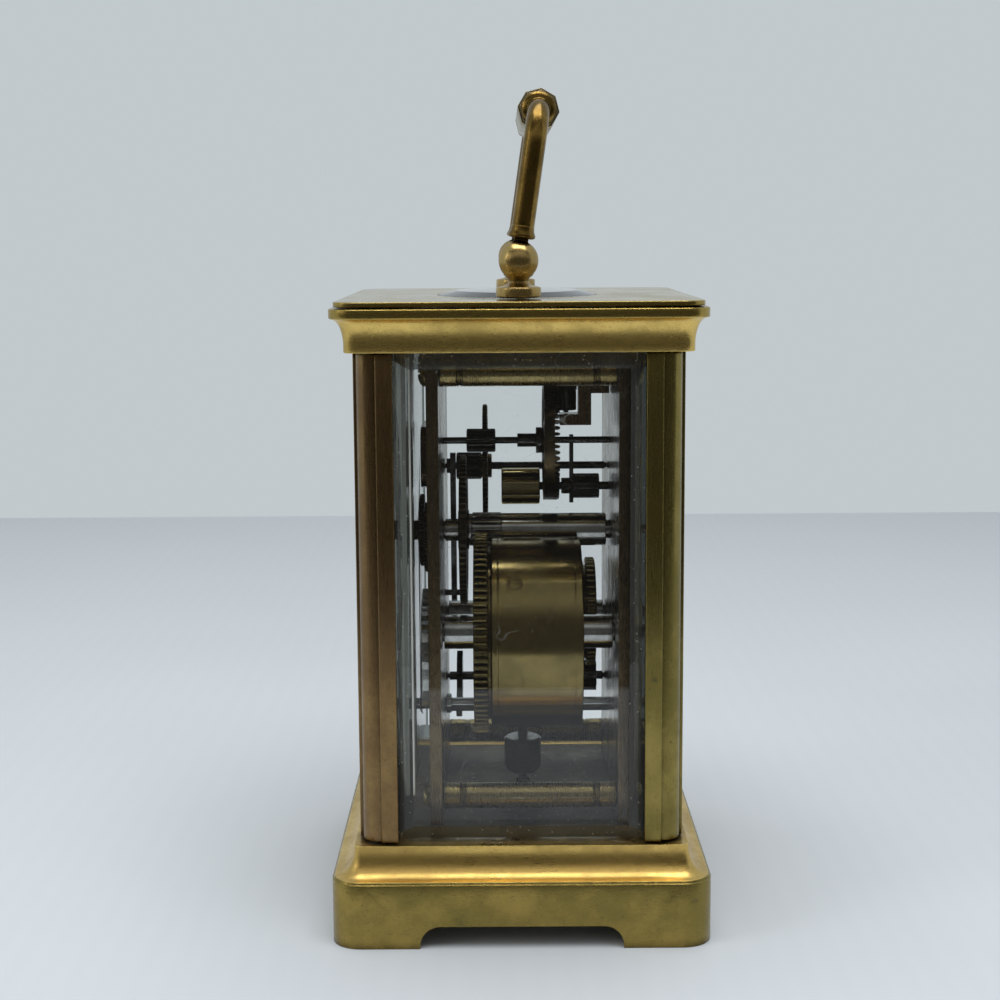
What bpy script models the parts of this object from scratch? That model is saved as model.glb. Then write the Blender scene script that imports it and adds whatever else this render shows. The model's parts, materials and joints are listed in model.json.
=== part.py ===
"""Carriage alarm clock: a glazed brass case with a folding handle, and its spring-driven movement.

Metres, +Z up. The dial faces -Y, and the origin is on the table under the middle of the base.
Every arbor of the movement runs along Y, except the escape arbor and the balance staff.
"""
import math

import bmesh
import bpy
from mathutils import Matrix

# Clearances and cutting
FACE_GAP = 0.0003
SEAT_GAP = 0.0002
PIVOT_PLAY = 0.00015
OVERRUN = 0.002
MERGE = 0.000001
SHARP_ANGLE = math.radians(46.0)

# Facets round a full turn, and along a rounded corner
FINE_TURN = 24
TURN = 16
SMALL_TURN = 8
CORNER_STEPS = 4
ARC_STEPS = 5
SPOKE_STEPS = 3

# Case body: the outside of the four pillars
BODY_WIDTH = 0.0730
BODY_DEPTH = 0.0584

# Base moulding
PLINTH_HEIGHT = 0.0118
BASE_HEIGHT = 0.0177
BASE_OVERHANG = 0.0049
BASE_NOSE = 0.0043
BASE_NOSE_HEIGHT = 0.0012
BASE_NOSE_RISE = 0.0004
BASE_TOP_OVERHANG = 0.0009
BASE_TOP_FILLET = 0.0006
BASE_CORNER = 0.0050
BASE_CHAMFER = 0.0003
CORNER_TAPER_SHARE = 0.62
LEAST_CORNER = 0.0004
BASE_WALL = 0.0025
BASE_HOLLOW_HEIGHT = 0.0105
LEDGE_WIDTH = 0.0025
LEDGE_THICKNESS = 0.0022
FOOT_LENGTH = 0.0159
ARCH_HEIGHT = 0.0041
ARCH_CORNER = 0.0036

# Case floor
FLOOR_THICKNESS = 0.0013

# Corner pillars
PILLAR_SIZE = 0.0071
PILLAR_STRIP = 0.0030
PILLAR_STEP = 0.0006
PILLAR_COLUMN = 0.0031
PILLAR_LENGTH = 0.0877
GROOVE_DEPTH = 0.0020
GROOVE_SETBACK = 0.0012

# Panes
GLASS_THICKNESS = 0.0024
GLASS_EDGE = 0.0013
GLASS_BEVEL = 0.0045

# Cornice
CORNICE_HEIGHT = 0.0076
CORNICE_FOOT = 0.0013
CORNICE_FOOT_HEIGHT = 0.0012
CORNICE_CORNER = 0.0046
LIP_OVERHANG = 0.0038
LIP_HEIGHT = 0.0016
LIP_UNDERCUT = 0.0004
CORNICE_FLANGE = 0.0015
CORNICE_WALL = 0.0057

# Top plate and its oval glass
TOP_PLATE_THICKNESS = 0.0009
TOP_PLATE_OVERHANG = 0.0030
OVAL_LENGTH = 0.0410
OVAL_WIDTH = 0.0304
OVAL_FLANGE = 0.0013
OVAL_FLANGE_THICKNESS = 0.0013
OVAL_RISE = 0.0008
OVAL_BEVEL = 0.0033

# Rear door
DOOR_THICKNESS = 0.0024
DOOR_RAIL = 0.0042
DOOR_GLASS_REBATE = 0.0012
DOOR_PIN_RADIUS = 0.0007
DOOR_PIN_LENGTH = 0.0012
KNOB_RADIUS = 0.0021
KNOB_LENGTH = 0.0034
KNOB_NECK = 0.0009
KNOB_SHARE = 0.5

# Handle
HANDLE_SPAN = 0.0560
PIVOT_RISE = 0.0068
HANDLE_LEAN = math.radians(8.1)
BALL_RADIUS = 0.00364
POST_COLLAR_RADIUS = 0.0038
POST_COLLAR_HEIGHT = 0.0018
POST_NECK_RADIUS = 0.0019
TONGUE_THICKNESS = 0.0015
TONGUE_EYE_RADIUS = 0.0021
TONGUE_NECK = 0.0022
HANDLE_PIN_RADIUS = 0.0005
BEAD_RADIUS = 0.0023
BEAD_HEIGHT = 0.0010
BEAD_CLEARANCE = 0.0008
ARM_RADIUS = 0.00185
ARM_BEND = 0.0065
GRIP_REACH = 0.0268
GRIP_RADIUS = 0.0039
GRIP_RING = 0.0009
GRIP_GROOVE = 0.0005
FERRULE_RADIUS = 0.0030
FERRULE_LENGTH = 0.0012

# Movement plates
PLATE_WIDTH = 0.0550
PLATE_ABOVE_CONTRATE = 0.0173
PLATE_THICKNESS = 0.0022
FRONT_PLATE_INNER = -0.01445
PLATE_SPACING = 0.0323
PLATE_CORNER = 0.0012
PLATE_PILLAR_INSET_X = 0.0050
PLATE_PILLAR_INSET_TOP = 0.0026
PLATE_PILLAR_INSET_BOTTOM = 0.0047
PLATE_PILLAR_RADIUS = 0.0024
PLATE_PILLAR_RING = 0.00013
PLATE_PILLAR_RING_PLACE = 0.0036
PLATE_PILLAR_RING_WIDTH = 0.0006
PLATE_SHANK_RADIUS = 0.0011
PLATE_SCREW_RISE = 0.0019

# Places of the arbors: the centre above the plates' foot, and the others from the centre
CENTRE_RISE = 0.0512
BARREL_X = 0.0126
BARREL_DROP = 0.0176
THIRD_X = -0.0124
THIRD_RISE = 0.0110
CONTRATE_RISE = 0.0175
ALARM_BARREL_X = -0.0185
ALARM_BARREL_DROP = 0.0202
ALARM_ESCAPE_DROP = 0.0337
HAMMER_X = -0.0090
HAMMER_DROP = 0.0379
RELEASE_X = -0.0090
RELEASE_RISE = 0.0073
DETENT_X = -0.0090
DETENT_DROP = 0.0142
ALARM_SET_DROP = 0.0347
MINUTE_WHEEL_X = 0.0084

# Teeth, in modules for heights and in halves of a tooth's space for widths
WHEEL_TOOTH_SHARES = (0.75, 1.10, 0.66, 0.22)
PINION_TOOTH_SHARES = (0.65, 1.30, 0.55, 0.28)
GREAT_TEETH = 48
CENTRE_PINION_TEETH = 8
CENTRE_TEETH = 48
THIRD_TEETH = 48
CONTRATE_TEETH = 36
SMALL_PINION_TEETH = 8
ESCAPE_PINION_TEETH = 6
ESCAPE_TEETH = 15
CANNON_TEETH = 8
MINUTE_WHEEL_TEETH = 24
MINUTE_PINION_TEETH = 6
HOUR_TEETH = 24
ALARM_GREAT_TEETH = 32
RATCHET_TEETH = 24
ALARM_ESCAPE_TEETH = 18

# Going barrel and its arbor
GREAT_WHEEL_Y = -0.0085
GREAT_WHEEL_THICKNESS = 0.0026
DRUM_RADIUS = 0.01796
DRUM_Y = -0.0053
DRUM_LENGTH = 0.0168
DRUM_NECK = 0.0165
DRUM_LIP = 0.0004
BARREL_ARBOR_RADIUS = 0.0032
BARREL_PIVOT_RADIUS = 0.0018
SQUARE_SIZE = 0.0022
SQUARE_LENGTH = 0.0036
RATCHET_RADIUS = 0.0083
RATCHET_DEPTH = 0.0010
RATCHET_THICKNESS = 0.0013
CLICK_DISTANCE = 0.0124
CLICK_ANGLE = math.radians(-70.0)
CLICK_REST_TOOTH = -3
CLICK_HUB = 0.0018
CLICK_HUB_OPENING = 0.4
CLICK_WIDTH = 0.0011
CLICK_POINT = 0.0004
CLICK_ARM_SHARE = 0.65

# Centre arbor, third arbor and contrate arbor
CENTRE_PIPE_RADIUS = 0.0032
CENTRE_PIPE_END = 0.0170
CENTRE_LEAVES_START = -0.0090
CENTRE_LEAVES_END = -0.0033
CENTRE_SEAT_RADIUS = 0.0022
CENTRE_PIVOT_RADIUS = 0.0018
CENTRE_WHEEL_Y = -0.0113
CENTRE_WHEEL_THICKNESS = 0.0014
WHEEL_RIM = 0.0017
WHEEL_HUB = 0.0019
WHEEL_SPOKE = 0.0013
SPOKES = 4
THIRD_SHAFT_RADIUS = 0.00075
THIRD_PIVOT_RADIUS = 0.0005
THIRD_LEAVES_START = -0.0122
THIRD_WHEEL_Y = -0.0069
THIRD_WHEEL_THICKNESS = 0.0010
THIRD_COLLAR_RADIUS = 0.0015
THIRD_COLLAR_LENGTH = 0.0012
CONTRATE_SHAFT_RADIUS = 0.00065
CONTRATE_LEAVES_START = -0.0099
CONTRATE_LEAVES_LENGTH = 0.0056
CONTRATE_BLOCK_START = -0.0001
CONTRATE_BLOCK_RADIUS = 0.0013
CONTRATE_HUB_RADIUS = 0.0025
CONTRATE_HUB_START = 0.0035
CONTRATE_HUB_LENGTH = 0.0011
CONTRATE_RIM_RADIUS = 0.0116
CONTRATE_RIM = 0.0012
CONTRATE_WEB = 0.0008
CONTRATE_DEPTH = 0.0030
CONTRATE_TOOTH = 0.0009
CONTRATE_ROOT_SHARE = 0.62

# Platform escapement
PLATFORM_WIDTH = 0.0300
PLATFORM_THICKNESS = 0.0018
PLATFORM_REBATE = 0.0008
POTENCE_ARM = 0.0025
POTENCE_ARM_Y = 0.0116
POTENCE_FOOT = 0.0021
POTENCE_FOOT_RISE = 0.0031
POTENCE_FOOT_Y = 0.0081
POTENCE_WIDTH = 0.0050
POTENCE_LUG_RISE = 0.0092
POTENCE_LUG_HEIGHT = 0.0024
ESCAPE_SHAFT_RADIUS = 0.0005
ESCAPE_MESH_DEPTH = 0.0004
ESCAPE_COLLET_RADIUS = 0.0020
ESCAPE_COLLET_LENGTH = 0.0037
ESCAPE_WHEEL_RADIUS = 0.0040
ESCAPE_WHEEL_THICKNESS = 0.0005
BALANCE_RADIUS = 0.0076
BALANCE_RIM = 0.0011
BALANCE_RIM_HEIGHT = 0.0009
BALANCE_ARM = 0.0012
BALANCE_LIFT = 0.0030
STAFF_RADIUS = 0.0005
COCK_THICKNESS = 0.0010
COCK_WIDTH = 0.0052
COCK_FOOT_LENGTH = 0.0050
COCK_HEADROOM = 0.0047
SPRING_WIRE = 0.00012
SPRING_TURNS = 4
SPRING_PITCH = 0.00075
SPRING_INNER = 0.0011
SPRING_POINTS = 10

# Motion work, dial and hands
SETTING_RADIUS = 0.0011
MOTION_THICKNESS = 0.0009
HOUR_PIPE_RADIUS = 0.0019
MINUTE_AXLE_RADIUS = 0.0007
DIAL_WIDTH = 0.0520
DIAL_INSET_TOP = 0.0005
DIAL_INSET_BOTTOM = 0.0055
DIAL_THICKNESS = 0.0008
DIAL_FRONT = -0.0203
DIAL_CORNER = 0.0010
DIAL_FOOT_RADIUS = 0.0007
HAND_THICKNESS = 0.0004
HAND_SPACING = 0.0008
HOUR_HAND_LENGTH = 0.0125
MINUTE_HAND_LENGTH = 0.0190
ALARM_HAND_LENGTH = 0.0068
HAND_BOSS_RIM = 0.0008
HOUR_HAND_ANGLE = math.radians(145.0)
MINUTE_HAND_ANGLE = math.radians(30.0)
ALARM_HAND_ANGLE = math.radians(-60.0)
FRONT_COCK_WIDTH = 0.0180
FRONT_COCK_HEIGHT = 0.0118
FRONT_COCK_THICKNESS = 0.0018
FRONT_COCK_CORNER = 0.0030

# Alarm work
ALARM_DRUM_RADIUS = 0.0107
ALARM_DRUM_Y = -0.0030
ALARM_DRUM_LENGTH = 0.0164
ALARM_GREAT_THICKNESS = 0.0020
ALARM_GREAT_Y = 0.0138
ALARM_ARBOR_RADIUS = 0.0024
ALARM_PIVOT_RADIUS = 0.0015
ALARM_LEAVES_OVERLAP = 0.0004
ALARM_ESCAPE_RADIUS = 0.0052
ALARM_ESCAPE_Y = -0.0126
ALARM_ESCAPE_THICKNESS = 0.0012
ALARM_ESCAPE_SHAFT = 0.0009
ALARM_TOOTH_DEPTH = 0.0010
HAMMER_SHAFT_RADIUS = 0.0008
HAMMER_HEAD_RADIUS = 0.00365
HAMMER_HEAD_HEIGHT = 0.0072
HAMMER_HEAD_X = -0.0025
HAMMER_HEAD_Y = 0.00075
HAMMER_HEAD_LIFT = 0.0021
HAMMER_HEAD_ROUND = 0.0012
HAMMER_STALK_WIDTH = 0.0028
HAMMER_STALK_HEIGHT = 0.0020
HAMMER_HUB = 0.0019
STRIKER_RADIUS = 0.0008
STRIKER_DROP = 0.0112
STRIKER_TRAVEL = 0.0021
STRIKER_SIDE_PLAY = 0.0006
PALLET_WIDTH = 0.0016
BELL_RADIUS = 0.0155
BELL_HEIGHT = 0.0083
BELL_WALL = 0.0008
BELL_X = -0.0210
BELL_CROWN_DROP = 0.0007
BELL_SCREW_RADIUS = 0.0010
BELL_SCREW_HEAD = 0.0022
RELEASE_SHAFT = 0.0008
RELEASE_SLEEVE_RADIUS = 0.00365
RELEASE_SLEEVE_Y = -0.0032
RELEASE_SLEEVE_LENGTH = 0.0076
RELEASE_HUB_RADIUS = 0.0016
RELEASE_HUB_Y = 0.0087
RELEASE_BLADE_Y = 0.0103
RELEASE_BLADE_THICKNESS = 0.0008
RELEASE_BLADE_UP = 0.0103
RELEASE_BLADE_DOWN = 0.0036
RELEASE_BLADE_WIDTH = 0.0022
RELEASE_DRUM_RADIUS = 0.00245
RELEASE_DRUM_END = 0.0162
RELEASE_RIBS = 10
DETENT_THICKNESS = 0.0011
DETENT_Y = -0.0133
DETENT_RISE = 0.0275
DETENT_WIDTH = 0.0036
DETENT_TIP_WIDTH = 0.0022
DETENT_OFFSET = 0.0026
DETENT_PIVOT = 0.0006
DETENT_END = -0.0109

# Colours
BRASS_COLOUR = (0.33, 0.22, 0.08)
DARK_BRASS_COLOUR = (0.16, 0.11, 0.05)
STEEL_COLOUR = (0.20, 0.20, 0.21)
BLUED_COLOUR = (0.03, 0.035, 0.06)
GLASS_COLOUR = (0.80, 0.88, 0.85)
DIAL_COLOUR = (0.86, 0.85, 0.80)

# Heights of the case, from the table up
HALF_WIDTH = BODY_WIDTH / 2
HALF_DEPTH = BODY_DEPTH / 2
PILLAR_BOTTOM = BASE_HEIGHT + FACE_GAP
PILLAR_TOP = PILLAR_BOTTOM + PILLAR_LENGTH
CORNICE_BOTTOM = PILLAR_TOP + FACE_GAP
CORNICE_TOP = CORNICE_BOTTOM + CORNICE_HEIGHT
TOP_PLATE_BOTTOM = CORNICE_TOP + FACE_GAP
TOP_PLATE_TOP = TOP_PLATE_BOTTOM + TOP_PLATE_THICKNESS
PIVOT_Z = TOP_PLATE_TOP + PIVOT_RISE
REBATE_OFFSET = -(PILLAR_SIZE + SEAT_GAP)
FLOOR_BOTTOM = BASE_HEIGHT - FLOOR_THICKNESS
LEDGE_TOP = FLOOR_BOTTOM - FACE_GAP
LEDGE_BOTTOM = LEDGE_TOP - LEDGE_THICKNESS
LEDGE_OFFSET = REBATE_OFFSET - LEDGE_WIDTH

# Depths of the movement, from the dial back
FRONT_PLATE_OUTER = FRONT_PLATE_INNER - PLATE_THICKNESS
BACK_PLATE_INNER = FRONT_PLATE_INNER + PLATE_SPACING
BACK_PLATE_OUTER = BACK_PLATE_INNER + PLATE_THICKNESS
PLATE_BOTTOM = BASE_HEIGHT + FACE_GAP
CENTRE_Z = PLATE_BOTTOM + CENTRE_RISE
CONTRATE_Z = CENTRE_Z + CONTRATE_RISE
PLATE_TOP = CONTRATE_Z + PLATE_ABOVE_CONTRATE
PLATE_HEIGHT = PLATE_TOP - PLATE_BOTTOM
POTENCE_FOOT_Z = CONTRATE_Z + POTENCE_FOOT_RISE
POTENCE_LUG_Z = CONTRATE_Z + POTENCE_LUG_RISE
SQUARE_END = BACK_PLATE_OUTER + FACE_GAP + SQUARE_LENGTH
FIRST_LAYER_BACK = FRONT_PLATE_OUTER - FACE_GAP
FIRST_LAYER_FRONT = FIRST_LAYER_BACK - MOTION_THICKNESS
SECOND_LAYER_BACK = FIRST_LAYER_FRONT - FACE_GAP
SECOND_LAYER_FRONT = SECOND_LAYER_BACK - MOTION_THICKNESS
DIAL_BACK = DIAL_FRONT + DIAL_THICKNESS
HOUR_HAND_Y = DIAL_FRONT - HAND_SPACING
MINUTE_HAND_Y = HOUR_HAND_Y - HAND_THICKNESS - HAND_SPACING
HAND_TIP_Y = MINUTE_HAND_Y - HAND_THICKNESS - FACE_GAP

# Arbor places as pairs
CENTRE = (0.0, CENTRE_Z)
BARREL = (BARREL_X, CENTRE_Z - BARREL_DROP)
THIRD = (THIRD_X, CENTRE_Z + THIRD_RISE)
CONTRATE = (0.0, CONTRATE_Z)
ALARM_BARREL = (ALARM_BARREL_X, CENTRE_Z - ALARM_BARREL_DROP)
ALARM_ESCAPE = (ALARM_BARREL_X, CENTRE_Z - ALARM_ESCAPE_DROP)
HAMMER = (HAMMER_X, CENTRE_Z - HAMMER_DROP)
RELEASE = (RELEASE_X, CENTRE_Z + RELEASE_RISE)
DETENT = (DETENT_X, CENTRE_Z - DETENT_DROP)
ALARM_SET = (0.0, CENTRE_Z - ALARM_SET_DROP)
MINUTE_WHEEL = (MINUTE_WHEEL_X, CENTRE_Z)

# The escape arbor stands behind the contrate wheel's teeth
CONTRATE_FRONT = CONTRATE_HUB_START + CONTRATE_HUB_LENGTH + FACE_GAP
CONTRATE_TIP = CONTRATE_FRONT + CONTRATE_DEPTH
CONTRATE_PITCH_RADIUS = CONTRATE_RIM_RADIUS - CONTRATE_RIM / 2
ESCAPE_PITCH_RADIUS = CONTRATE_PITCH_RADIUS * ESCAPE_PINION_TEETH / CONTRATE_TEETH
ESCAPE_Y = CONTRATE_TIP - ESCAPE_MESH_DEPTH + ESCAPE_PITCH_RADIUS
PLATFORM_BOTTOM = PLATE_TOP + FACE_GAP
PLATFORM_TOP = PLATFORM_BOTTOM + PLATFORM_THICKNESS
STAFF_Y = ESCAPE_Y - ESCAPE_WHEEL_RADIUS - STAFF_RADIUS - PIVOT_PLAY

UP_Z = (0.0, 0.0, 0.0)
FACE_Y = (math.radians(90.0), 0.0, 0.0)
ALONG_Y = (math.radians(-90.0), 0.0, 0.0)
ALONG_X = (0.0, math.radians(90.0), 0.0)


# Scene, collections and materials

def clear_scene():
    """Remove whatever the file holds."""
    for item in list(bpy.data.objects):
        bpy.data.objects.remove(item, do_unlink=True)


def new_collection(name):
    """Make a collection in the scene."""
    collection = bpy.data.collections.new(name)
    bpy.context.scene.collection.children.link(collection)
    return collection


clear_scene()
PARTS = new_collection("carriage_alarm_clock")
CUTTERS = new_collection("cutters")


def new_material(name, colour, roughness, metallic, alpha=1.0):
    """Make a plain material."""
    material = bpy.data.materials.new(name)
    material.use_nodes = True
    shader = material.node_tree.nodes["Principled BSDF"]
    shader.inputs["Base Color"].default_value = (*colour, 1.0)
    shader.inputs["Roughness"].default_value = roughness
    shader.inputs["Metallic"].default_value = metallic
    shader.inputs["Alpha"].default_value = alpha
    return material


def brass(name):
    return new_material(name + "_brass", BRASS_COLOUR, 0.38, 1.0)


def dark_brass(name):
    return new_material(name + "_dark_brass", DARK_BRASS_COLOUR, 0.45, 1.0)


def steel(name):
    return new_material(name + "_steel", STEEL_COLOUR, 0.30, 1.0)


def blued(name):
    return new_material(name + "_blued_steel", BLUED_COLOUR, 0.35, 1.0)


def glass(name):
    return new_material(name + "_glass", GLASS_COLOUR, 0.05, 0.0, 0.35)


def enamel(name):
    return new_material(name + "_enamel", DIAL_COLOUR, 0.25, 0.0)


# Objects from meshes, turned profiles and flat outlines

def add_mesh(name, mesh, material, place=UP_Z, turn=UP_Z):
    """Put a mesh into the parts collection."""
    item = bpy.data.objects.new(name, mesh)
    item.location = place
    item.rotation_euler = turn
    PARTS.objects.link(item)
    if material is not None:
        mesh.materials.append(material)
    mesh.shade_smooth()
    mesh.set_sharp_from_angle(angle=SHARP_ANGLE)
    return item


def mesh_from(bm, name):
    """Finish a bmesh with its faces pointing out."""
    bmesh.ops.remove_doubles(bm, verts=bm.verts, dist=MERGE)
    bmesh.ops.recalc_face_normals(bm, faces=bm.faces)
    mesh = bpy.data.meshes.new(name)
    bm.to_mesh(mesh)
    bm.free()
    return mesh


def turned(name, profile, material, place, turn=ALONG_Y, steps=TURN, closed=False):
    """Turn a profile of (radius, height) points about its own axis.

    The points run down the outer side. A profile that closes on itself leaves a bore.
    """
    mesh = bpy.data.meshes.new(name)
    points = [(radius, 0.0, height) for radius, height in profile]
    edges = [(i, i + 1) for i in range(len(points) - 1)]
    if closed:
        edges.append((len(points) - 1, 0))
    mesh.from_pydata(points, edges, [])
    item = add_mesh(name, mesh, material, place, turn)
    screw = item.modifiers.new("turn", "SCREW")
    screw.steps = steps
    screw.render_steps = steps
    screw.use_merge_vertices = True
    screw.merge_threshold = MERGE
    screw.use_smooth_shade = True
    return item


def rod(name, radius, start, end, material, at, steps=SMALL_TURN):
    """Make a plain arbor along Y at the (x, z) place."""
    profile = [(0.0, end), (radius, end), (radius, start), (0.0, start)]
    return turned(name, profile, material, (at[0], 0.0, at[1]), steps=steps)


def stepped(name, stations, material, at, steps=SMALL_TURN):
    """Make an arbor along Y from (radius, start, end) stations that follow on from front to back."""
    profile = [(0.0, stations[-1][2])]
    for radius, start, end in reversed(stations):
        profile += [(radius, end), (radius, start)]
    profile.append((0.0, stations[0][1]))
    return turned(name, profile, material, (at[0], 0.0, at[1]), steps=steps)


def flat(name, loops, thickness, material, place, turn=FACE_Y):
    """Extrude flat outlines: the first is the outside and the others are holes."""
    curve = bpy.data.curves.new(name, "CURVE")
    curve.dimensions = "2D"
    curve.fill_mode = "BOTH"
    curve.extrude = thickness / 2
    for loop in loops:
        spline = curve.splines.new("POLY")
        spline.points.add(len(loop) - 1)
        for point, (x, y) in zip(spline.points, loop):
            point.co = (x, y, 0.0, 1.0)
        spline.use_cyclic_u = True
    item = bpy.data.objects.new(name, curve)
    item.location = place
    item.rotation_euler = turn
    PARTS.objects.link(item)
    return as_mesh(item, material)


def as_mesh(item, material):
    """Turn a curve object into a mesh object with welded caps."""
    bpy.context.view_layer.update()
    graph = bpy.context.evaluated_depsgraph_get()
    mesh = bpy.data.meshes.new_from_object(item.evaluated_get(graph))
    bm = bmesh.new()
    bm.from_mesh(mesh)
    bpy.data.meshes.remove(mesh)
    name, place, turn = item.name, item.location.copy(), item.rotation_euler.copy()
    bpy.data.objects.remove(item)
    return add_mesh(name, mesh_from(bm, name), material, place, turn)


def tube(name, points, radius, material, resolution=2):
    """Sweep a round wire along points."""
    curve = bpy.data.curves.new(name, "CURVE")
    curve.dimensions = "3D"
    curve.bevel_depth = radius
    curve.bevel_resolution = resolution
    curve.use_fill_caps = True
    spline = curve.splines.new("POLY")
    spline.points.add(len(points) - 1)
    for point, co in zip(spline.points, points):
        point.co = (*co, 1.0)
    item = bpy.data.objects.new(name, curve)
    PARTS.objects.link(item)
    return as_mesh(item, material)


def block(name, low, high, material=None):
    """Make a box between two corners."""
    bm = bmesh.new()
    bmesh.ops.create_cube(bm, size=1.0)
    size = [b - a for a, b in zip(low, high)]
    middle = [(a + b) / 2 for a, b in zip(low, high)]
    bmesh.ops.scale(bm, vec=size, verts=bm.verts)
    return add_mesh(name, mesh_from(bm, name), material, middle)


def combine(item, other, operation):
    """Join, cut or keep a solid with another one, which becomes a helper."""
    PARTS.objects.unlink(other)
    CUTTERS.objects.link(other)
    other.hide_render = True
    other.display_type = "WIRE"
    modifier = item.modifiers.new(operation.lower(), "BOOLEAN")
    modifier.operation = operation
    modifier.solver = "EXACT"
    modifier.object = other
    return item


def join(item, other):
    return combine(item, other, "UNION")


def cut(item, other):
    return combine(item, other, "DIFFERENCE")


# Outlines

def circle(radius, steps=TURN, middle=(0.0, 0.0)):
    """Points round a circle."""
    return arc(middle, radius, 0.0, math.tau, steps)[:-1]


def arc(middle, radius, start, end, steps=ARC_STEPS):
    """Points along an arc, both ends included."""
    angles = [start + (end - start) * i / steps for i in range(steps + 1)]
    return [(middle[0] + radius * math.cos(a), middle[1] + radius * math.sin(a)) for a in angles]


def rounded_rectangle(half_x, half_y, radius, steps=CORNER_STEPS, middle=(0.0, 0.0)):
    """Points round a rectangle with round corners."""
    points = []
    for quarter, (sx, sy) in enumerate(((1, 1), (-1, 1), (-1, -1), (1, -1))):
        corner = (middle[0] + sx * (half_x - radius), middle[1] + sy * (half_y - radius))
        start = quarter * math.pi / 2
        points += arc(corner, radius, start, start + math.pi / 2, steps)
    return points


def gear_points(teeth, pitch_radius, module, shares, phase):
    """Outline of a toothed wheel, with a tooth's middle at the phase angle."""
    rise, fall, root, tip = shares
    points = []
    for k in range(teeth):
        middle = phase + math.tau * k / teeth
        root_radius = pitch_radius - fall * module
        tip_radius = pitch_radius + rise * module
        for radius, side in ((root_radius, -root), (tip_radius, -tip), (tip_radius, tip), (root_radius, root)):
            angle = middle + side * math.pi / teeth
            points.append((radius * math.cos(angle), radius * math.sin(angle)))
    return points


def ratchet_points(teeth, radius, depth, phase=0.0):
    """Outline of a wheel with saw teeth."""
    points = []
    for k in range(teeth):
        angle = phase + math.tau * k / teeth
        for reach in (radius - depth, radius):
            points.append((reach * math.cos(angle), reach * math.sin(angle)))
    return points


def spoke_windows(rim_radius, hub_radius, spoke, count=SPOKES):
    """Outlines of the openings between a wheel's spokes."""
    windows = []
    for k in range(count):
        start = math.tau * k / count
        end = math.tau * (k + 1) / count
        outer_half = math.asin(spoke / 2 / rim_radius)
        inner_half = math.asin(spoke / 2 / hub_radius)
        outer = arc((0.0, 0.0), rim_radius, start + outer_half, end - outer_half, SPOKE_STEPS)
        inner = arc((0.0, 0.0), hub_radius, end - inner_half, start + inner_half, 1)
        windows.append(outer + inner)
    return windows


def bearing(start, end):
    """Angle of the line from one (x, z) place to another."""
    return math.atan2(end[1] - start[1], end[0] - start[0])


class Mesh:
    """A wheel and a pinion that run together."""

    def __init__(self, wheel_at, wheel_teeth, pinion_at, pinion_teeth):
        distance = math.dist(wheel_at, pinion_at)
        self.module = 2 * distance / (wheel_teeth + pinion_teeth)
        self.wheel_radius = self.module * wheel_teeth / 2
        self.pinion_radius = self.module * pinion_teeth / 2
        self.wheel_teeth = wheel_teeth
        self.pinion_teeth = pinion_teeth
        self.wheel_phase = bearing(wheel_at, pinion_at)
        self.pinion_phase = bearing(pinion_at, wheel_at) + math.pi / pinion_teeth
        self.wheel_root = self.wheel_radius - WHEEL_TOOTH_SHARES[1] * self.module
        self.wheel_tip = self.wheel_radius + WHEEL_TOOTH_SHARES[0] * self.module

    def wheel(self):
        return gear_points(self.wheel_teeth, self.wheel_radius, self.module, WHEEL_TOOTH_SHARES, self.wheel_phase)

    def pinion(self):
        return gear_points(self.pinion_teeth, self.pinion_radius, self.module, PINION_TOOTH_SHARES,
                           self.pinion_phase)


GREAT_MESH = Mesh(BARREL, GREAT_TEETH, CENTRE, CENTRE_PINION_TEETH)
CENTRE_MESH = Mesh(CENTRE, CENTRE_TEETH, THIRD, SMALL_PINION_TEETH)
THIRD_MESH = Mesh(THIRD, THIRD_TEETH, CONTRATE, SMALL_PINION_TEETH)
CANNON_MESH = Mesh(MINUTE_WHEEL, MINUTE_WHEEL_TEETH, CENTRE, CANNON_TEETH)
HOUR_MESH = Mesh(CENTRE, HOUR_TEETH, MINUTE_WHEEL, MINUTE_PINION_TEETH)
ALARM_MESH = Mesh(ALARM_BARREL, ALARM_GREAT_TEETH, ALARM_ESCAPE, SMALL_PINION_TEETH)


def movement_fit():
    """Share of its full size at which the movement clears the panes, the door and the oval glass."""
    half_width = max(BARREL_X + GREAT_MESH.wheel_tip, ALARM_MESH.wheel_tip - ALARM_BARREL_X)
    side_room = HALF_WIDTH - GROOVE_SETBACK - SEAT_GAP - GLASS_THICKNESS - FACE_GAP
    front_room = HALF_DEPTH - GROOVE_SETBACK - SEAT_GAP - GLASS_THICKNESS - FACE_GAP
    back_room = HALF_DEPTH - DOOR_THICKNESS - FACE_GAP
    head_room = TOP_PLATE_BOTTOM - 2 * FACE_GAP - OVAL_FLANGE_THICKNESS - PLATE_BOTTOM
    height = PLATFORM_TOP + COCK_HEADROOM + COCK_THICKNESS - PLATE_BOTTOM
    return min(1.0, side_room / half_width, front_room / -HAND_TIP_Y, back_room / SQUARE_END, head_room / height)


MOVEMENT_FIT = movement_fit()
BELL_PLACE = BELL_X * MOVEMENT_FIT
BELL_RIM = BELL_RADIUS * MOVEMENT_FIT


def leaves(name, points, start, end, material, at):
    """Make a pinion's leaves between two depths."""
    return flat(name, [points], end - start, material, (at[0], (start + end) / 2, at[1]))


# Case

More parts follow.
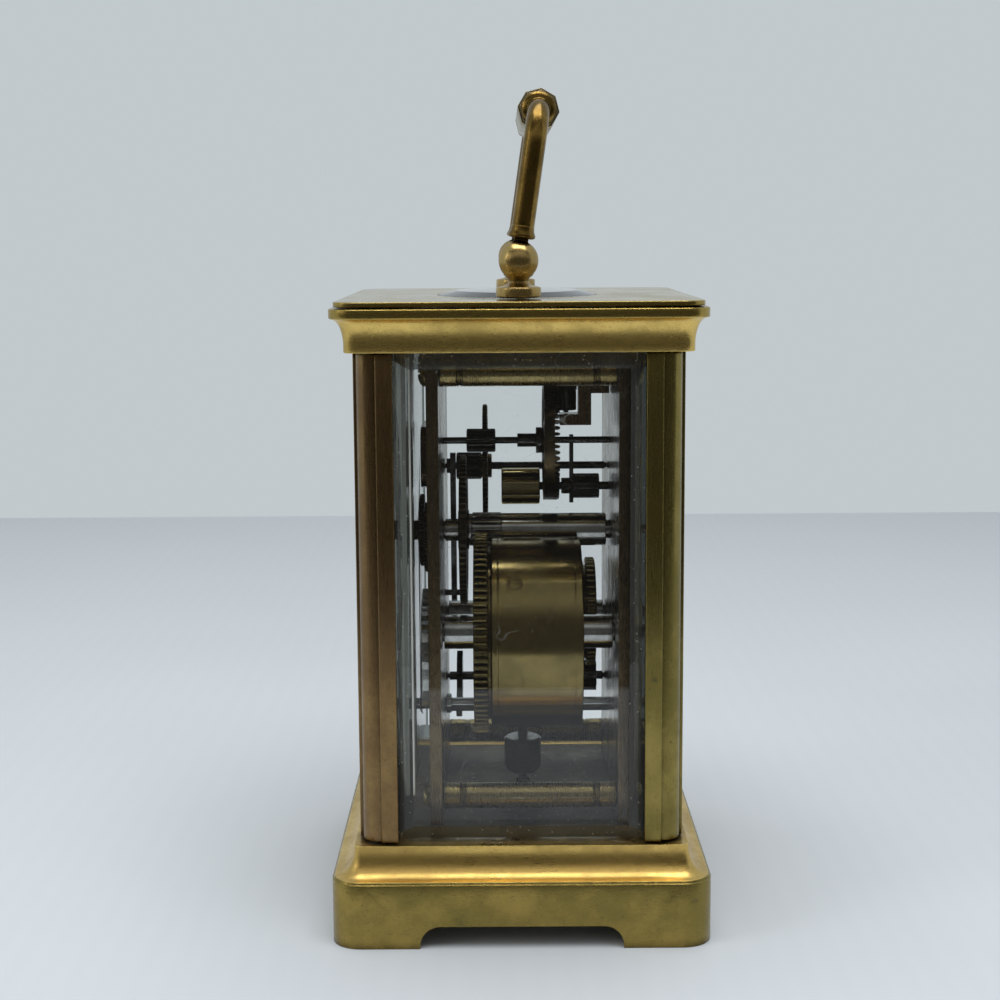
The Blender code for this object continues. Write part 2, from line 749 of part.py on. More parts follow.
def moulding(name, profile, half_x, half_y, corner, overhang, material):
    """Sweep a closed profile of (offset, height) points round a rectangle with round corners.

    The corner's radius shrinks with the offset, down to the least corner.
    """
    bm = bmesh.new()
    loops = []
    for offset, height in profile:
        radius = max(LEAST_CORNER, corner - (overhang - offset) * CORNER_TAPER_SHARE)
        outline = rounded_rectangle(half_x + offset, half_y + offset, radius)
        loops.append([bm.verts.new((x, y, height)) for x, y in outline])
    for a, b in zip(loops, loops[1:] + loops[:1]):
        for i in range(len(a)):
            j = (i + 1) % len(a)
            bm.faces.new((a[i], a[j], b[j], b[i]))
    return add_mesh(name, mesh_from(bm, name), material)


def arch_outline(half_length):
    """Outline of the opening between two feet."""
    left = arc((-half_length + ARCH_CORNER, ARCH_HEIGHT - ARCH_CORNER), ARCH_CORNER, math.pi, math.pi / 2)
    right = arc((half_length - ARCH_CORNER, ARCH_HEIGHT - ARCH_CORNER), ARCH_CORNER, math.pi / 2, 0.0)
    return [(-half_length, -OVERRUN)] + left + right + [(half_length, -OVERRUN)]


def base_profile():
    """Section of the base, from the foot up its outer side and down the hollow."""
    sweep_radius_x = BASE_NOSE - BASE_TOP_OVERHANG
    hollow_top = BASE_HEIGHT - BASE_TOP_FILLET
    nose_top = PLINTH_HEIGHT + BASE_NOSE_HEIGHT
    sweep = []
    for i in range(1, ARC_STEPS):
        angle = math.pi / 2 * i / ARC_STEPS
        sweep.append((BASE_NOSE - sweep_radius_x * math.sin(angle),
                      hollow_top - (hollow_top - nose_top) * math.cos(angle)))
    outer = [(BASE_OVERHANG - BASE_CHAMFER, 0.0), (BASE_OVERHANG, BASE_CHAMFER),
             (BASE_OVERHANG, PLINTH_HEIGHT), (BASE_NOSE, PLINTH_HEIGHT + BASE_NOSE_RISE),
             (BASE_NOSE, nose_top)]
    top = [(BASE_TOP_OVERHANG, hollow_top), (BASE_TOP_OVERHANG, BASE_HEIGHT), (REBATE_OFFSET, BASE_HEIGHT)]
    ledge = [(REBATE_OFFSET, LEDGE_TOP), (LEDGE_OFFSET, LEDGE_TOP), (LEDGE_OFFSET, LEDGE_BOTTOM)]
    inner = BASE_OVERHANG - BASE_WALL
    hollow = [(inner - BASE_HOLLOW_HEIGHT + ARCH_HEIGHT, LEDGE_BOTTOM), (inner, BASE_HOLLOW_HEIGHT), (inner, 0.0)]
    return outer + sweep + top + ledge + hollow


def door_pin_place():
    """Place of the door's hinge axis."""
    opening = HALF_WIDTH - PILLAR_SIZE
    return (opening - FACE_GAP - DOOR_THICKNESS / 2, HALF_DEPTH - DOOR_THICKNESS / 2)


def pin_socket(name, low, high):
    """A hole for one of the door's hinge pins."""
    radius = DOOR_PIN_RADIUS + FACE_GAP
    profile = [(0.0, high), (radius, high), (radius, low), (0.0, low)]
    x, y = door_pin_place()
    return turned(name, profile, None, (x, y, 0.0), UP_Z, SMALL_TURN)


def make_base():
    """The hollow plinth on four feet, with the hollow sweep above it."""
    base = moulding("base_moulding", base_profile(), HALF_WIDTH, HALF_DEPTH, BASE_CORNER, BASE_OVERHANG,
                    brass("base"))
    side = flat("side_arch", [arch_outline(HALF_DEPTH + BASE_OVERHANG - FOOT_LENGTH)],
                BODY_WIDTH + 2 * BASE_OVERHANG + 2 * OVERRUN, None, UP_Z,
                (math.radians(90.0), 0.0, math.radians(90.0)))
    face = flat("face_arch", [arch_outline(HALF_WIDTH + BASE_OVERHANG - FOOT_LENGTH)],
                BODY_DEPTH + 2 * BASE_OVERHANG + 2 * OVERRUN, None, UP_Z)
    cut(base, side)
    cut(base, face)
    cut(base, pin_socket("lower_pin_socket", BASE_HEIGHT - DOOR_PIN_LENGTH - FACE_GAP, BASE_HEIGHT + OVERRUN))
    return base


def make_floor():
    """The plate under the movement, with a slot for the hammer's striker."""
    inset = REBATE_OFFSET - FACE_GAP
    outline = rounded_rectangle(HALF_WIDTH + inset, HALF_DEPTH + inset, LEAST_CORNER, 2)
    half_slot = STRIKER_TRAVEL + STRIKER_RADIUS
    half_gap = STRIKER_RADIUS + STRIKER_SIDE_PLAY
    slot_place = (HAMMER_HEAD_X * MOVEMENT_FIT, HAMMER_HEAD_Y * MOVEMENT_FIT)
    slot = rounded_rectangle(half_slot, half_gap, half_gap, 3, slot_place)
    screw_hole = circle(BELL_SCREW_RADIUS + FACE_GAP, SMALL_TURN, (BELL_PLACE, 0.0))
    return flat("case_floor", [outline, slot, screw_hole], FLOOR_THICKNESS, dark_brass("floor"),
                (0.0, 0.0, FLOOR_BOTTOM + FLOOR_THICKNESS / 2), UP_Z)


def pillar_outline(end_groove):
    """Section of a corner pillar, as distances in from the side face and the end face."""
    strip = PILLAR_SIZE - PILLAR_STRIP
    middle = PILLAR_STEP + PILLAR_COLUMN
    column = arc((middle, middle), PILLAR_COLUMN, math.pi, 1.5 * math.pi)
    points = [(0.0, PILLAR_SIZE), (0.0, strip), (PILLAR_STEP, strip)] + column
    points += [(strip, PILLAR_STEP), (strip, 0.0), (PILLAR_SIZE, 0.0)]
    near = GROOVE_SETBACK
    far = GROOVE_SETBACK + GLASS_THICKNESS + 2 * SEAT_GAP
    floor = PILLAR_SIZE - GROOVE_DEPTH
    if end_groove:
        points += [(PILLAR_SIZE, near), (floor, near), (floor, far), (PILLAR_SIZE, far)]
    points += [(PILLAR_SIZE, PILLAR_SIZE), (far, PILLAR_SIZE), (far, floor), (near, floor), (near, PILLAR_SIZE)]
    return points


def make_pillars():
    """Four corner pillars, each with a rounded column between two flat strips."""
    names = {(-1, -1): "pillar_front_left", (1, -1): "pillar_front_right",
             (-1, 1): "pillar_rear_left", (1, 1): "pillar_rear_right"}
    for (sx, sy), name in names.items():
        outline = [(sx * (HALF_WIDTH - u), sy * (HALF_DEPTH - v)) for u, v in pillar_outline(sy < 0)]
        flat(name, [outline], PILLAR_LENGTH, brass(name), (0.0, 0.0, PILLAR_BOTTOM + PILLAR_LENGTH / 2), UP_Z)


def bevelled_pane(name, width, height, place, turn, thickness=GLASS_THICKNESS):
    """A pane with its outer face bevelled all round. It lies flat before it is turned."""
    bm = bmesh.new()
    bmesh.ops.create_cube(bm, size=1.0)
    bmesh.ops.scale(bm, vec=(width, height, GLASS_EDGE), verts=bm.verts)
    bmesh.ops.translate(bm, vec=(0.0, 0.0, (GLASS_EDGE - thickness) / 2), verts=bm.verts)
    outer = [face for face in bm.faces if face.normal.z > 0.5]
    bmesh.ops.inset_region(bm, faces=outer, thickness=GLASS_BEVEL, depth=0.0)
    bmesh.ops.translate(bm, vec=(0.0, 0.0, thickness - GLASS_EDGE), verts=outer[0].verts)
    return add_mesh(name, mesh_from(bm, name), glass(name), place, turn)


def make_panes():
    """The fixed panes of the front and the two sides."""
    reach = PILLAR_SIZE - GROOVE_DEPTH + SEAT_GAP
    depth = GROOVE_SETBACK + SEAT_GAP + GLASS_THICKNESS / 2
    middle_z = PILLAR_BOTTOM + PILLAR_LENGTH / 2
    bevelled_pane("front_glass", BODY_WIDTH - 2 * reach, PILLAR_LENGTH, (0.0, depth - HALF_DEPTH, middle_z),
                  FACE_Y)
    for name, side in (("left_glass", -1), ("right_glass", 1)):
        turn = (math.radians(90.0), 0.0, side * math.radians(90.0))
        bevelled_pane(name, BODY_DEPTH - 2 * reach, PILLAR_LENGTH, (side * (HALF_WIDTH - depth), 0.0, middle_z),
                      turn)


def cornice_profile():
    """Section of the cornice, up its outer side and down inside."""
    foot = CORNICE_BOTTOM + CORNICE_FOOT_HEIGHT
    lip_bottom = CORNICE_TOP - LIP_HEIGHT
    reach = LIP_OVERHANG - LIP_UNDERCUT - CORNICE_FOOT
    sweep = []
    for i in range(1, ARC_STEPS + 1):
        angle = math.pi / 2 * i / ARC_STEPS
        sweep.append((CORNICE_FOOT + reach * (1 - math.cos(angle)), foot + (lip_bottom - foot) * math.sin(angle)))
    outer = [(CORNICE_FOOT, CORNICE_BOTTOM), (CORNICE_FOOT, foot)] + sweep
    lip = [(LIP_OVERHANG, lip_bottom + LIP_UNDERCUT), (LIP_OVERHANG, CORNICE_TOP)]
    flange = CORNICE_BOTTOM + CORNICE_FLANGE
    inner = LIP_OVERHANG - TOP_PLATE_OVERHANG - CORNICE_WALL
    return outer + lip + [(inner, CORNICE_TOP), (inner, flange), (REBATE_OFFSET, flange),
                          (REBATE_OFFSET, CORNICE_BOTTOM)]


def make_cornice():
    """The hollow moulding that caps the pillars."""
    cornice = moulding("cornice", cornice_profile(), HALF_WIDTH, HALF_DEPTH, CORNICE_CORNER, LIP_OVERHANG,
                       brass("cornice"))
    return cut(cornice, pin_socket("upper_pin_socket", CORNICE_BOTTOM - OVERRUN,
                                   CORNICE_BOTTOM + DOOR_PIN_LENGTH + FACE_GAP))


def oval(length, width, steps=FINE_TURN):
    """Points round an oval."""
    return [(length / 2 * x, width / 2 * y) for x, y in circle(1.0, steps)]


def make_top_plate():
    """The thin top plate with its oval opening."""
    radius = CORNICE_CORNER - (LIP_OVERHANG - TOP_PLATE_OVERHANG) * CORNER_TAPER_SHARE
    outline = rounded_rectangle(HALF_WIDTH + TOP_PLATE_OVERHANG, HALF_DEPTH + TOP_PLATE_OVERHANG, radius)
    return flat("top_plate", [outline, oval(OVAL_LENGTH, OVAL_WIDTH)], TOP_PLATE_THICKNESS, brass("top_plate"),
                (0.0, 0.0, TOP_PLATE_BOTTOM + TOP_PLATE_THICKNESS / 2), UP_Z)


def make_top_glass():
    """The oval glass, let in from below on a flange, with a bevelled upper edge."""
    inner_length = OVAL_LENGTH - 2 * SEAT_GAP
    inner_width = OVAL_WIDTH - 2 * SEAT_GAP
    flange_top = TOP_PLATE_BOTTOM - FACE_GAP
    levels = [(inner_length + 2 * OVAL_FLANGE, inner_width + 2 * OVAL_FLANGE, flange_top - OVAL_FLANGE_THICKNESS),
              (inner_length + 2 * OVAL_FLANGE, inner_width + 2 * OVAL_FLANGE, flange_top),
              (inner_length, inner_width, flange_top),
              (inner_length, inner_width, TOP_PLATE_TOP),
              (inner_length - 2 * OVAL_BEVEL, inner_width - 2 * OVAL_BEVEL, TOP_PLATE_TOP + OVAL_RISE)]
    bm = bmesh.new()
    loops = [[bm.verts.new((x, y, z)) for x, y in oval(length, width)] for length, width, z in levels]
    for a, b in zip(loops, loops[1:]):
        for i in range(len(a)):
            j = (i + 1) % len(a)
            bm.faces.new((a[i], a[j], b[j], b[i]))
    bm.faces.new(loops[0])
    bm.faces.new(loops[-1])
    return add_mesh("top_glass", mesh_from(bm, "top_glass"), glass("top_glass"))


# Rear door

def make_door():
    """The glazed rear door, its hinge stile rounded about the pins."""
    pin_x, pin_y = door_pin_place()
    hinge = bpy.data.objects.new("door_hinge", None)
    hinge.location = (pin_x, pin_y, 0.0)
    PARTS.objects.link(hinge)
    half = HALF_WIDTH - PILLAR_SIZE - FACE_GAP
    bottom, top = PILLAR_BOTTOM, PILLAR_TOP
    thick = DOOR_THICKNESS / 2
    left = -half - pin_x
    stile = [(left, thick), (left, -thick), (0.0, -thick)] + arc((0.0, 0.0), thick, -math.pi / 2, math.pi / 2)
    frame = flat("door_frame", [stile], top - bottom, brass("door_frame"), (0.0, 0.0, (bottom + top) / 2), UP_Z)
    opening = (left + DOOR_RAIL, thick - DOOR_RAIL)
    cut(frame, block("door_opening", (opening[0], -thick - OVERRUN, bottom + DOOR_RAIL),
                     (opening[1], thick + OVERRUN, top - DOOR_RAIL)))
    rebate = DOOR_GLASS_REBATE
    cut(frame, block("door_rebate", (opening[0] - rebate, -thick - OVERRUN, bottom + DOOR_RAIL - rebate),
                     (opening[1] + rebate, 0.0, top - DOOR_RAIL + rebate)))
    pin = [(0.0, top + DOOR_PIN_LENGTH), (DOOR_PIN_RADIUS, top + DOOR_PIN_LENGTH),
           (DOOR_PIN_RADIUS, bottom - DOOR_PIN_LENGTH), (0.0, bottom - DOOR_PIN_LENGTH)]
    join(frame, turned("door_pins", pin, None, UP_Z, UP_Z, SMALL_TURN))
    width = opening[1] - opening[0] + 2 * (rebate - SEAT_GAP)
    height = top - bottom - 2 * DOOR_RAIL + 2 * (rebate - SEAT_GAP)
    pane_thickness = thick - SEAT_GAP
    bm = bmesh.new()
    bmesh.ops.create_cube(bm, size=1.0)
    bmesh.ops.scale(bm, vec=(width, pane_thickness, height), verts=bm.verts)
    pane = add_mesh("door_glass", mesh_from(bm, "door_glass"), glass("door_glass"),
                    ((opening[0] + opening[1]) / 2, -SEAT_GAP - pane_thickness / 2, (bottom + top) / 2))
    knob_profile = [(0.0, KNOB_LENGTH), (KNOB_RADIUS * 0.6, KNOB_LENGTH), (KNOB_RADIUS, KNOB_LENGTH * 0.8),
                    (KNOB_RADIUS, KNOB_LENGTH * 0.55), (KNOB_NECK, KNOB_LENGTH * 0.35), (KNOB_NECK, SEAT_GAP),
                    (0.0, SEAT_GAP)]
    knob = turned("door_knob", knob_profile, brass("door_knob"),
                  (left + DOOR_RAIL / 2, thick, bottom + (top - bottom) * KNOB_SHARE), steps=SMALL_TURN)
    for item in [frame, pane, knob] + [modifier.object for modifier in frame.modifiers]:
        item.parent = hinge


# Handle

def make_post(side, name, pin_name):
    """One of the two posts, whose slotted ball holds the handle's tongue on a pin."""
    x = side * HANDLE_SPAN / 2
    joint_angle = -math.acos(POST_NECK_RADIUS / BALL_RADIUS)
    ball = arc((0.0, PIVOT_Z), BALL_RADIUS, math.pi / 2, joint_angle, 7)
    collar_bottom = TOP_PLATE_TOP + FACE_GAP
    collar_top = collar_bottom + POST_COLLAR_HEIGHT
    ball_foot = ball[-1][1]
    profile = ball + [(POST_NECK_RADIUS, (ball_foot + collar_top) / 2),
                      ((POST_NECK_RADIUS + POST_COLLAR_RADIUS) / 2, collar_top + FACE_GAP),
                      (POST_COLLAR_RADIUS, collar_top), (POST_COLLAR_RADIUS, collar_bottom), (0.0, collar_bottom)]
    profile[0] = (0.0, PIVOT_Z + BALL_RADIUS)
    post = turned(name, profile, brass(name), (x, 0.0, 0.0), UP_Z)
    half_slot = TONGUE_THICKNESS / 2 + SEAT_GAP
    slot_bottom = PIVOT_Z - TONGUE_EYE_RADIUS - FACE_GAP
    cut(post, block(name + "_slot", (x - half_slot, -BALL_RADIUS - OVERRUN, slot_bottom),
                    (x + half_slot, BALL_RADIUS + OVERRUN, PIVOT_Z + BALL_RADIUS + OVERRUN)))
    hole = HANDLE_PIN_RADIUS + PIVOT_PLAY
    reach = BALL_RADIUS + OVERRUN
    cut(post, turned(name + "_pin_hole", [(0.0, reach), (hole, reach), (hole, -reach), (0.0, -reach)], None,
                     (x, 0.0, PIVOT_Z), ALONG_X, SMALL_TURN))
    half_pin = math.sqrt(BALL_RADIUS ** 2 - HANDLE_PIN_RADIUS ** 2)
    turned(pin_name, [(0.0, half_pin), (HANDLE_PIN_RADIUS, half_pin), (HANDLE_PIN_RADIUS, -half_pin),
                      (0.0, -half_pin)], steel(pin_name), (x, 0.0, PIVOT_Z), ALONG_X, SMALL_TURN)


def make_arm(side, name, pivot):
    """One arm of the handle: tongue, bead, upright, bend and ferrule."""
    x = side * HANDLE_SPAN / 2
    bead_bottom = BALL_RADIUS + BEAD_CLEARANCE
    bead_top = bead_bottom + BEAD_HEIGHT
    bend_z = GRIP_REACH - ARM_BEND
    bend = arc((0.0, bend_z), ARM_BEND, 0.0, math.pi / 2, ARC_STEPS)
    bend[-1] = (FERRULE_LENGTH / 2, GRIP_REACH)
    grip_end = HANDLE_SPAN / 2 - ARM_BEND
    points = [(x, 0.0, bead_bottom + BEAD_HEIGHT / 3), (x, 0.0, (bead_top + bend_z) / 2)]
    points += [(side * (grip_end + u), 0.0, z) for u, z in bend]
    arm = tube(name, points, ARM_RADIUS, brass(name))
    shoulder = (ARM_RADIUS + BEAD_RADIUS) / 2
    bead = [(0.0, bead_top), (shoulder, bead_top), (BEAD_RADIUS, (bead_top + bead_bottom) / 2),
            (shoulder, bead_bottom), (0.0, bead_bottom)]
    join(arm, turned(name + "_bead", bead, None, (x, 0.0, 0.0), UP_Z, SMALL_TURN))
    half_neck = TONGUE_NECK / 2
    start = math.asin(half_neck / TONGUE_EYE_RADIUS)
    eye = arc((0.0, 0.0), TONGUE_EYE_RADIUS, math.pi / 2 + start, 2.5 * math.pi - start, 9)
    neck_top = (bead_bottom + bead_top) / 2
    outline = eye + [(half_neck, neck_top), (-half_neck, neck_top)]
    hole = circle(HANDLE_PIN_RADIUS + PIVOT_PLAY, SMALL_TURN)
    join(arm, flat(name + "_tongue", [outline, hole], TONGUE_THICKNESS, None, (x, 0.0, 0.0),
                   (math.radians(90.0), 0.0, math.radians(90.0))))
    end = grip_end
    ferrule = [(0.0, end + FERRULE_LENGTH), (FERRULE_RADIUS, end + FERRULE_LENGTH), (FERRULE_RADIUS, end),
               (0.0, end)]
    if side < 0:
        ferrule = [(r, -h) for r, h in reversed(ferrule)]
    join(arm, turned(name + "_ferrule", ferrule, None, (0.0, 0.0, GRIP_REACH), ALONG_X, TURN))
    for item in [arm] + [m.object for m in arm.modifiers]:
        item.parent = pivot


def make_grip(pivot):
    """The eight-sided grip with rings cut near its ends."""
    half = HANDLE_SPAN / 2 - ARM_BEND - SEAT_GAP
    low = GRIP_RADIUS - GRIP_GROOVE
    side = [(0.0, half), (low, half)]
    place = half - GRIP_RING / 2
    for _ in range(2):
        side += [(GRIP_RADIUS, place), (GRIP_RADIUS, place - GRIP_RING), (low, place - GRIP_RING - GRIP_GROOVE)]
        place -= GRIP_RING + 2 * GRIP_GROOVE
    profile = side + [(r, -h) for r, h in reversed(side)]
    grip = turned("handle_grip", profile, brass("handle_grip"), (0.0, 0.0, GRIP_REACH), ALONG_X, 8)
    grip.rotation_mode = "ZYX"
    grip.rotation_euler = (0.0, math.radians(90.0), math.radians(22.5))
    grip.parent = pivot


def make_handle():
    """The bail handle on its two posts."""
    make_post(-1, "handle_post_left", "handle_pin_left")
    make_post(1, "handle_post_right", "handle_pin_right")
    pivot = bpy.data.objects.new("handle_pivot", None)
    pivot.location = (0.0, 0.0, PIVOT_Z)
    pivot.rotation_euler = (-HANDLE_LEAN, 0.0, 0.0)
    PARTS.objects.link(pivot)
    make_arm(-1, "handle_arm_left", pivot)
    make_arm(1, "handle_arm_right", pivot)
    make_grip(pivot)


# Movement frame

def plate_pillar_places():
    """The (x, z) places of the four pillars between the plates."""
    x = PLATE_WIDTH / 2 - PLATE_PILLAR_INSET_X
    top = PLATE_TOP - PLATE_PILLAR_INSET_TOP
    bottom = PLATE_BOTTOM + PLATE_PILLAR_INSET_BOTTOM
    return {"movement_pillar_top_left": (-x, top), "movement_pillar_top_right": (x, top),
            "movement_pillar_bottom_left": (-x, bottom), "movement_pillar_bottom_right": (x, bottom)}


def make_plate(name, inner, outer, holes):
    """One movement plate with its pivot holes."""
    middle_z = (PLATE_BOTTOM + PLATE_TOP) / 2
    loops = [rounded_rectangle(PLATE_WIDTH / 2, PLATE_HEIGHT / 2, PLATE_CORNER, 2, (0.0, middle_z))]
    for (x, z), radius in holes:
        loops.append(circle(radius + PIVOT_PLAY, SMALL_TURN if radius < CENTRE_PIVOT_RADIUS else TURN, (x, z)))
    for x, z in plate_pillar_places().values():
        loops.append(circle(PLATE_SHANK_RADIUS + PIVOT_PLAY, SMALL_TURN, (x, z)))
    return flat(name, loops, PLATE_THICKNESS, dark_brass(name), (0.0, (inner + outer) / 2, 0.0))


def make_plates():
    """Both plates. The back one also takes the winding and setting squares."""
    shared = [(CENTRE, CENTRE_PIVOT_RADIUS), (CONTRATE, CONTRATE_SHAFT_RADIUS), (THIRD, THIRD_PIVOT_RADIUS),
              (BARREL, BARREL_PIVOT_RADIUS), (ALARM_BARREL, ALARM_PIVOT_RADIUS), (ALARM_ESCAPE, THIRD_PIVOT_RADIUS),
              (HAMMER, HAMMER_SHAFT_RADIUS), (ALARM_SET, SETTING_RADIUS)]
    front = shared + [(MINUTE_WHEEL, MINUTE_AXLE_RADIUS), (DETENT, DETENT_PIVOT), (click_place(), DETENT_PIVOT)]
    make_plate("front_plate", FRONT_PLATE_INNER, FRONT_PLATE_OUTER, front)
    make_plate("back_plate", BACK_PLATE_INNER, BACK_PLATE_OUTER, shared + [(RELEASE, RELEASE_SHAFT)])


def make_plate_pillars():
    """Turned pillars with a pair of rings near each end, and the domed screws that hold the plates."""
    start = FRONT_PLATE_INNER + SEAT_GAP
    end = BACK_PLATE_INNER - SEAT_GAP
    ring = PLATE_PILLAR_RADIUS + PLATE_PILLAR_RING
    waist = PLATE_PILLAR_RADIUS - PLATE_PILLAR_RING

    def rings(place):
        return [(waist, place + PLATE_PILLAR_RING_WIDTH), (ring, place), (waist, place - PLATE_PILLAR_RING_WIDTH)]

    def screw(face, away):
        rim = face + away * SEAT_GAP
        crown = rim + away * PLATE_SCREW_RISE
        return [(0.0, crown), (PLATE_PILLAR_RADIUS * 0.6, crown - away * PLATE_SCREW_RISE * 0.15),
                (PLATE_PILLAR_RADIUS, crown - away * PLATE_SCREW_RISE * 0.55), (PLATE_PILLAR_RADIUS, rim),
                (PLATE_SHANK_RADIUS, rim)]

    rear = screw(BACK_PLATE_OUTER, 1)
    front = list(reversed(screw(FRONT_PLATE_OUTER, -1)))
    body = [(PLATE_SHANK_RADIUS, end), (PLATE_PILLAR_RADIUS, end)] + rings(end - PLATE_PILLAR_RING_PLACE)
    body += rings(start + PLATE_PILLAR_RING_PLACE) + [(PLATE_PILLAR_RADIUS, start), (PLATE_SHANK_RADIUS, start)]
    for name, (x, z) in plate_pillar_places().items():
        turned(name, rear + body + front, dark_brass(name), (x, 0.0, z), steps=SMALL_TURN)


def make_front_cock():
    """The cock outside the front plate that carries the third and contrate pivots."""
    middle = ((THIRD_X + 0.0) / 2, (THIRD[1] + CONTRATE_Z) / 2)
    outline = rounded_rectangle(FRONT_COCK_WIDTH / 2, FRONT_COCK_HEIGHT / 2, FRONT_COCK_CORNER, 3, middle)
    holes = [circle(THIRD_PIVOT_RADIUS + PIVOT_PLAY, SMALL_TURN, THIRD),
             circle(CONTRATE_SHAFT_RADIUS + PIVOT_PLAY, SMALL_TURN, CONTRATE)]
    y = FIRST_LAYER_BACK - FRONT_COCK_THICKNESS / 2
    return flat("front_cock", [outline] + holes, FRONT_COCK_THICKNESS, dark_brass("front_cock"), (0.0, y, 0.0))


# Going train

def square_end(name, size, start, at, diameter):
    """Cut an arbor's end square, for a key."""
    ring = [circle(diameter, TURN), [(-size / 2, -size / 2), (size / 2, -size / 2), (size / 2, size / 2),
                                     (-size / 2, size / 2)]]
    return flat(name, ring, SQUARE_LENGTH + 2 * OVERRUN, None, (at[0], start + SQUARE_LENGTH / 2 + OVERRUN, at[1]))


def make_going_barrel():
    """The mainspring barrel with its great wheel."""
    bore = BARREL_ARBOR_RADIUS + PIVOT_PLAY
    end = DRUM_Y + DRUM_LENGTH
    wheel_end = GREAT_WHEEL_Y + GREAT_WHEEL_THICKNESS
    wheel_inside = GREAT_WHEEL_Y + GREAT_WHEEL_THICKNESS / 2
    profile = [(bore, end - DRUM_LIP), (DRUM_NECK, end - DRUM_LIP), (DRUM_NECK, end), (DRUM_RADIUS, end),
               (DRUM_RADIUS, DRUM_Y), (DRUM_NECK, DRUM_Y), (DRUM_NECK, wheel_inside), (bore, wheel_inside)]
    barrel = turned("going_barrel", profile, brass("going_barrel"), (BARREL_X, 0.0, BARREL[1]), steps=FINE_TURN,
                    closed=True)
    gear = flat("great_wheel_teeth", [GREAT_MESH.wheel(), circle(bore, FINE_TURN)], GREAT_WHEEL_THICKNESS, None,
                (BARREL_X, (GREAT_WHEEL_Y + wheel_end) / 2, BARREL[1]))
    return join(barrel, gear)


def make_barrel_arbor():
    """The barrel's arbor, with a winding square behind the back plate."""
    front_end = FRONT_PLATE_OUTER - FACE_GAP - RATCHET_THICKNESS
    arbor = stepped("barrel_arbor", [
        (BARREL_PIVOT_RADIUS, front_end, FRONT_PLATE_INNER + FACE_GAP),
        (BARREL_ARBOR_RADIUS, FRONT_PLATE_INNER + FACE_GAP, BACK_PLATE_INNER - FACE_GAP),
        (BARREL_PIVOT_RADIUS, BACK_PLATE_INNER - FACE_GAP, SQUARE_END)], steel("barrel_arbor"), BARREL, TURN)
    return cut(arbor, square_end("winding_square", SQUARE_SIZE, BACK_PLATE_OUTER + FACE_GAP, BARREL,
                                 BARREL_ARBOR_RADIUS))


def make_ratchet():
    """The ratchet wheel on the barrel arbor, outside the front plate."""
    loops = [ratchet_points(RATCHET_TEETH, RATCHET_RADIUS, RATCHET_DEPTH),
             circle(BARREL_PIVOT_RADIUS + PIVOT_PLAY, TURN)]
    y = FIRST_LAYER_BACK - RATCHET_THICKNESS / 2
    return flat("ratchet_wheel", loops, RATCHET_THICKNESS, dark_brass("ratchet_wheel"), (BARREL_X, y, BARREL[1]))


def click_place():
    """The click's pivot, beside the ratchet wheel."""
    return (BARREL_X + CLICK_DISTANCE * math.cos(CLICK_ANGLE), BARREL[1] + CLICK_DISTANCE * math.sin(CLICK_ANGLE))


def make_click():
    """The click, whose nose stops the ratchet wheel's teeth."""
    at = click_place()
    tip_radius = RATCHET_RADIUS - RATCHET_DEPTH / 2
    tip_angle = math.tau * CLICK_REST_TOOTH / RATCHET_TEETH - (FACE_GAP + CLICK_POINT / 2) / tip_radius
    tip = (BARREL_X + tip_radius * math.cos(tip_angle) - at[0], BARREL[1] + tip_radius * math.sin(tip_angle) - at[1])
    length = math.hypot(*tip)
    ahead = (tip[0] / length, tip[1] / length)
    hub = arc((0.0, 0.0), CLICK_HUB, bearing((0.0, 0.0), tip) + CLICK_HUB_OPENING,
              bearing((0.0, 0.0), tip) + math.tau - CLICK_HUB_OPENING, 10)

    def beside(share, aside):
        return (tip[0] * share - ahead[1] * aside, tip[1] * share + ahead[0] * aside)

    outline = hub + [beside(CLICK_ARM_SHARE, -CLICK_WIDTH / 2), beside(1.0, -CLICK_POINT / 2),
                     beside(1.0, CLICK_POINT / 2), beside(CLICK_ARM_SHARE, CLICK_WIDTH / 2)]
    y = FIRST_LAYER_BACK - RATCHET_THICKNESS / 2
    click = flat("click", [outline], RATCHET_THICKNESS, blued("click"), (at[0], y, at[1]))
    return join(click, rod("click_stub", DETENT_PIVOT, y, FRONT_PLATE_INNER, None, at))


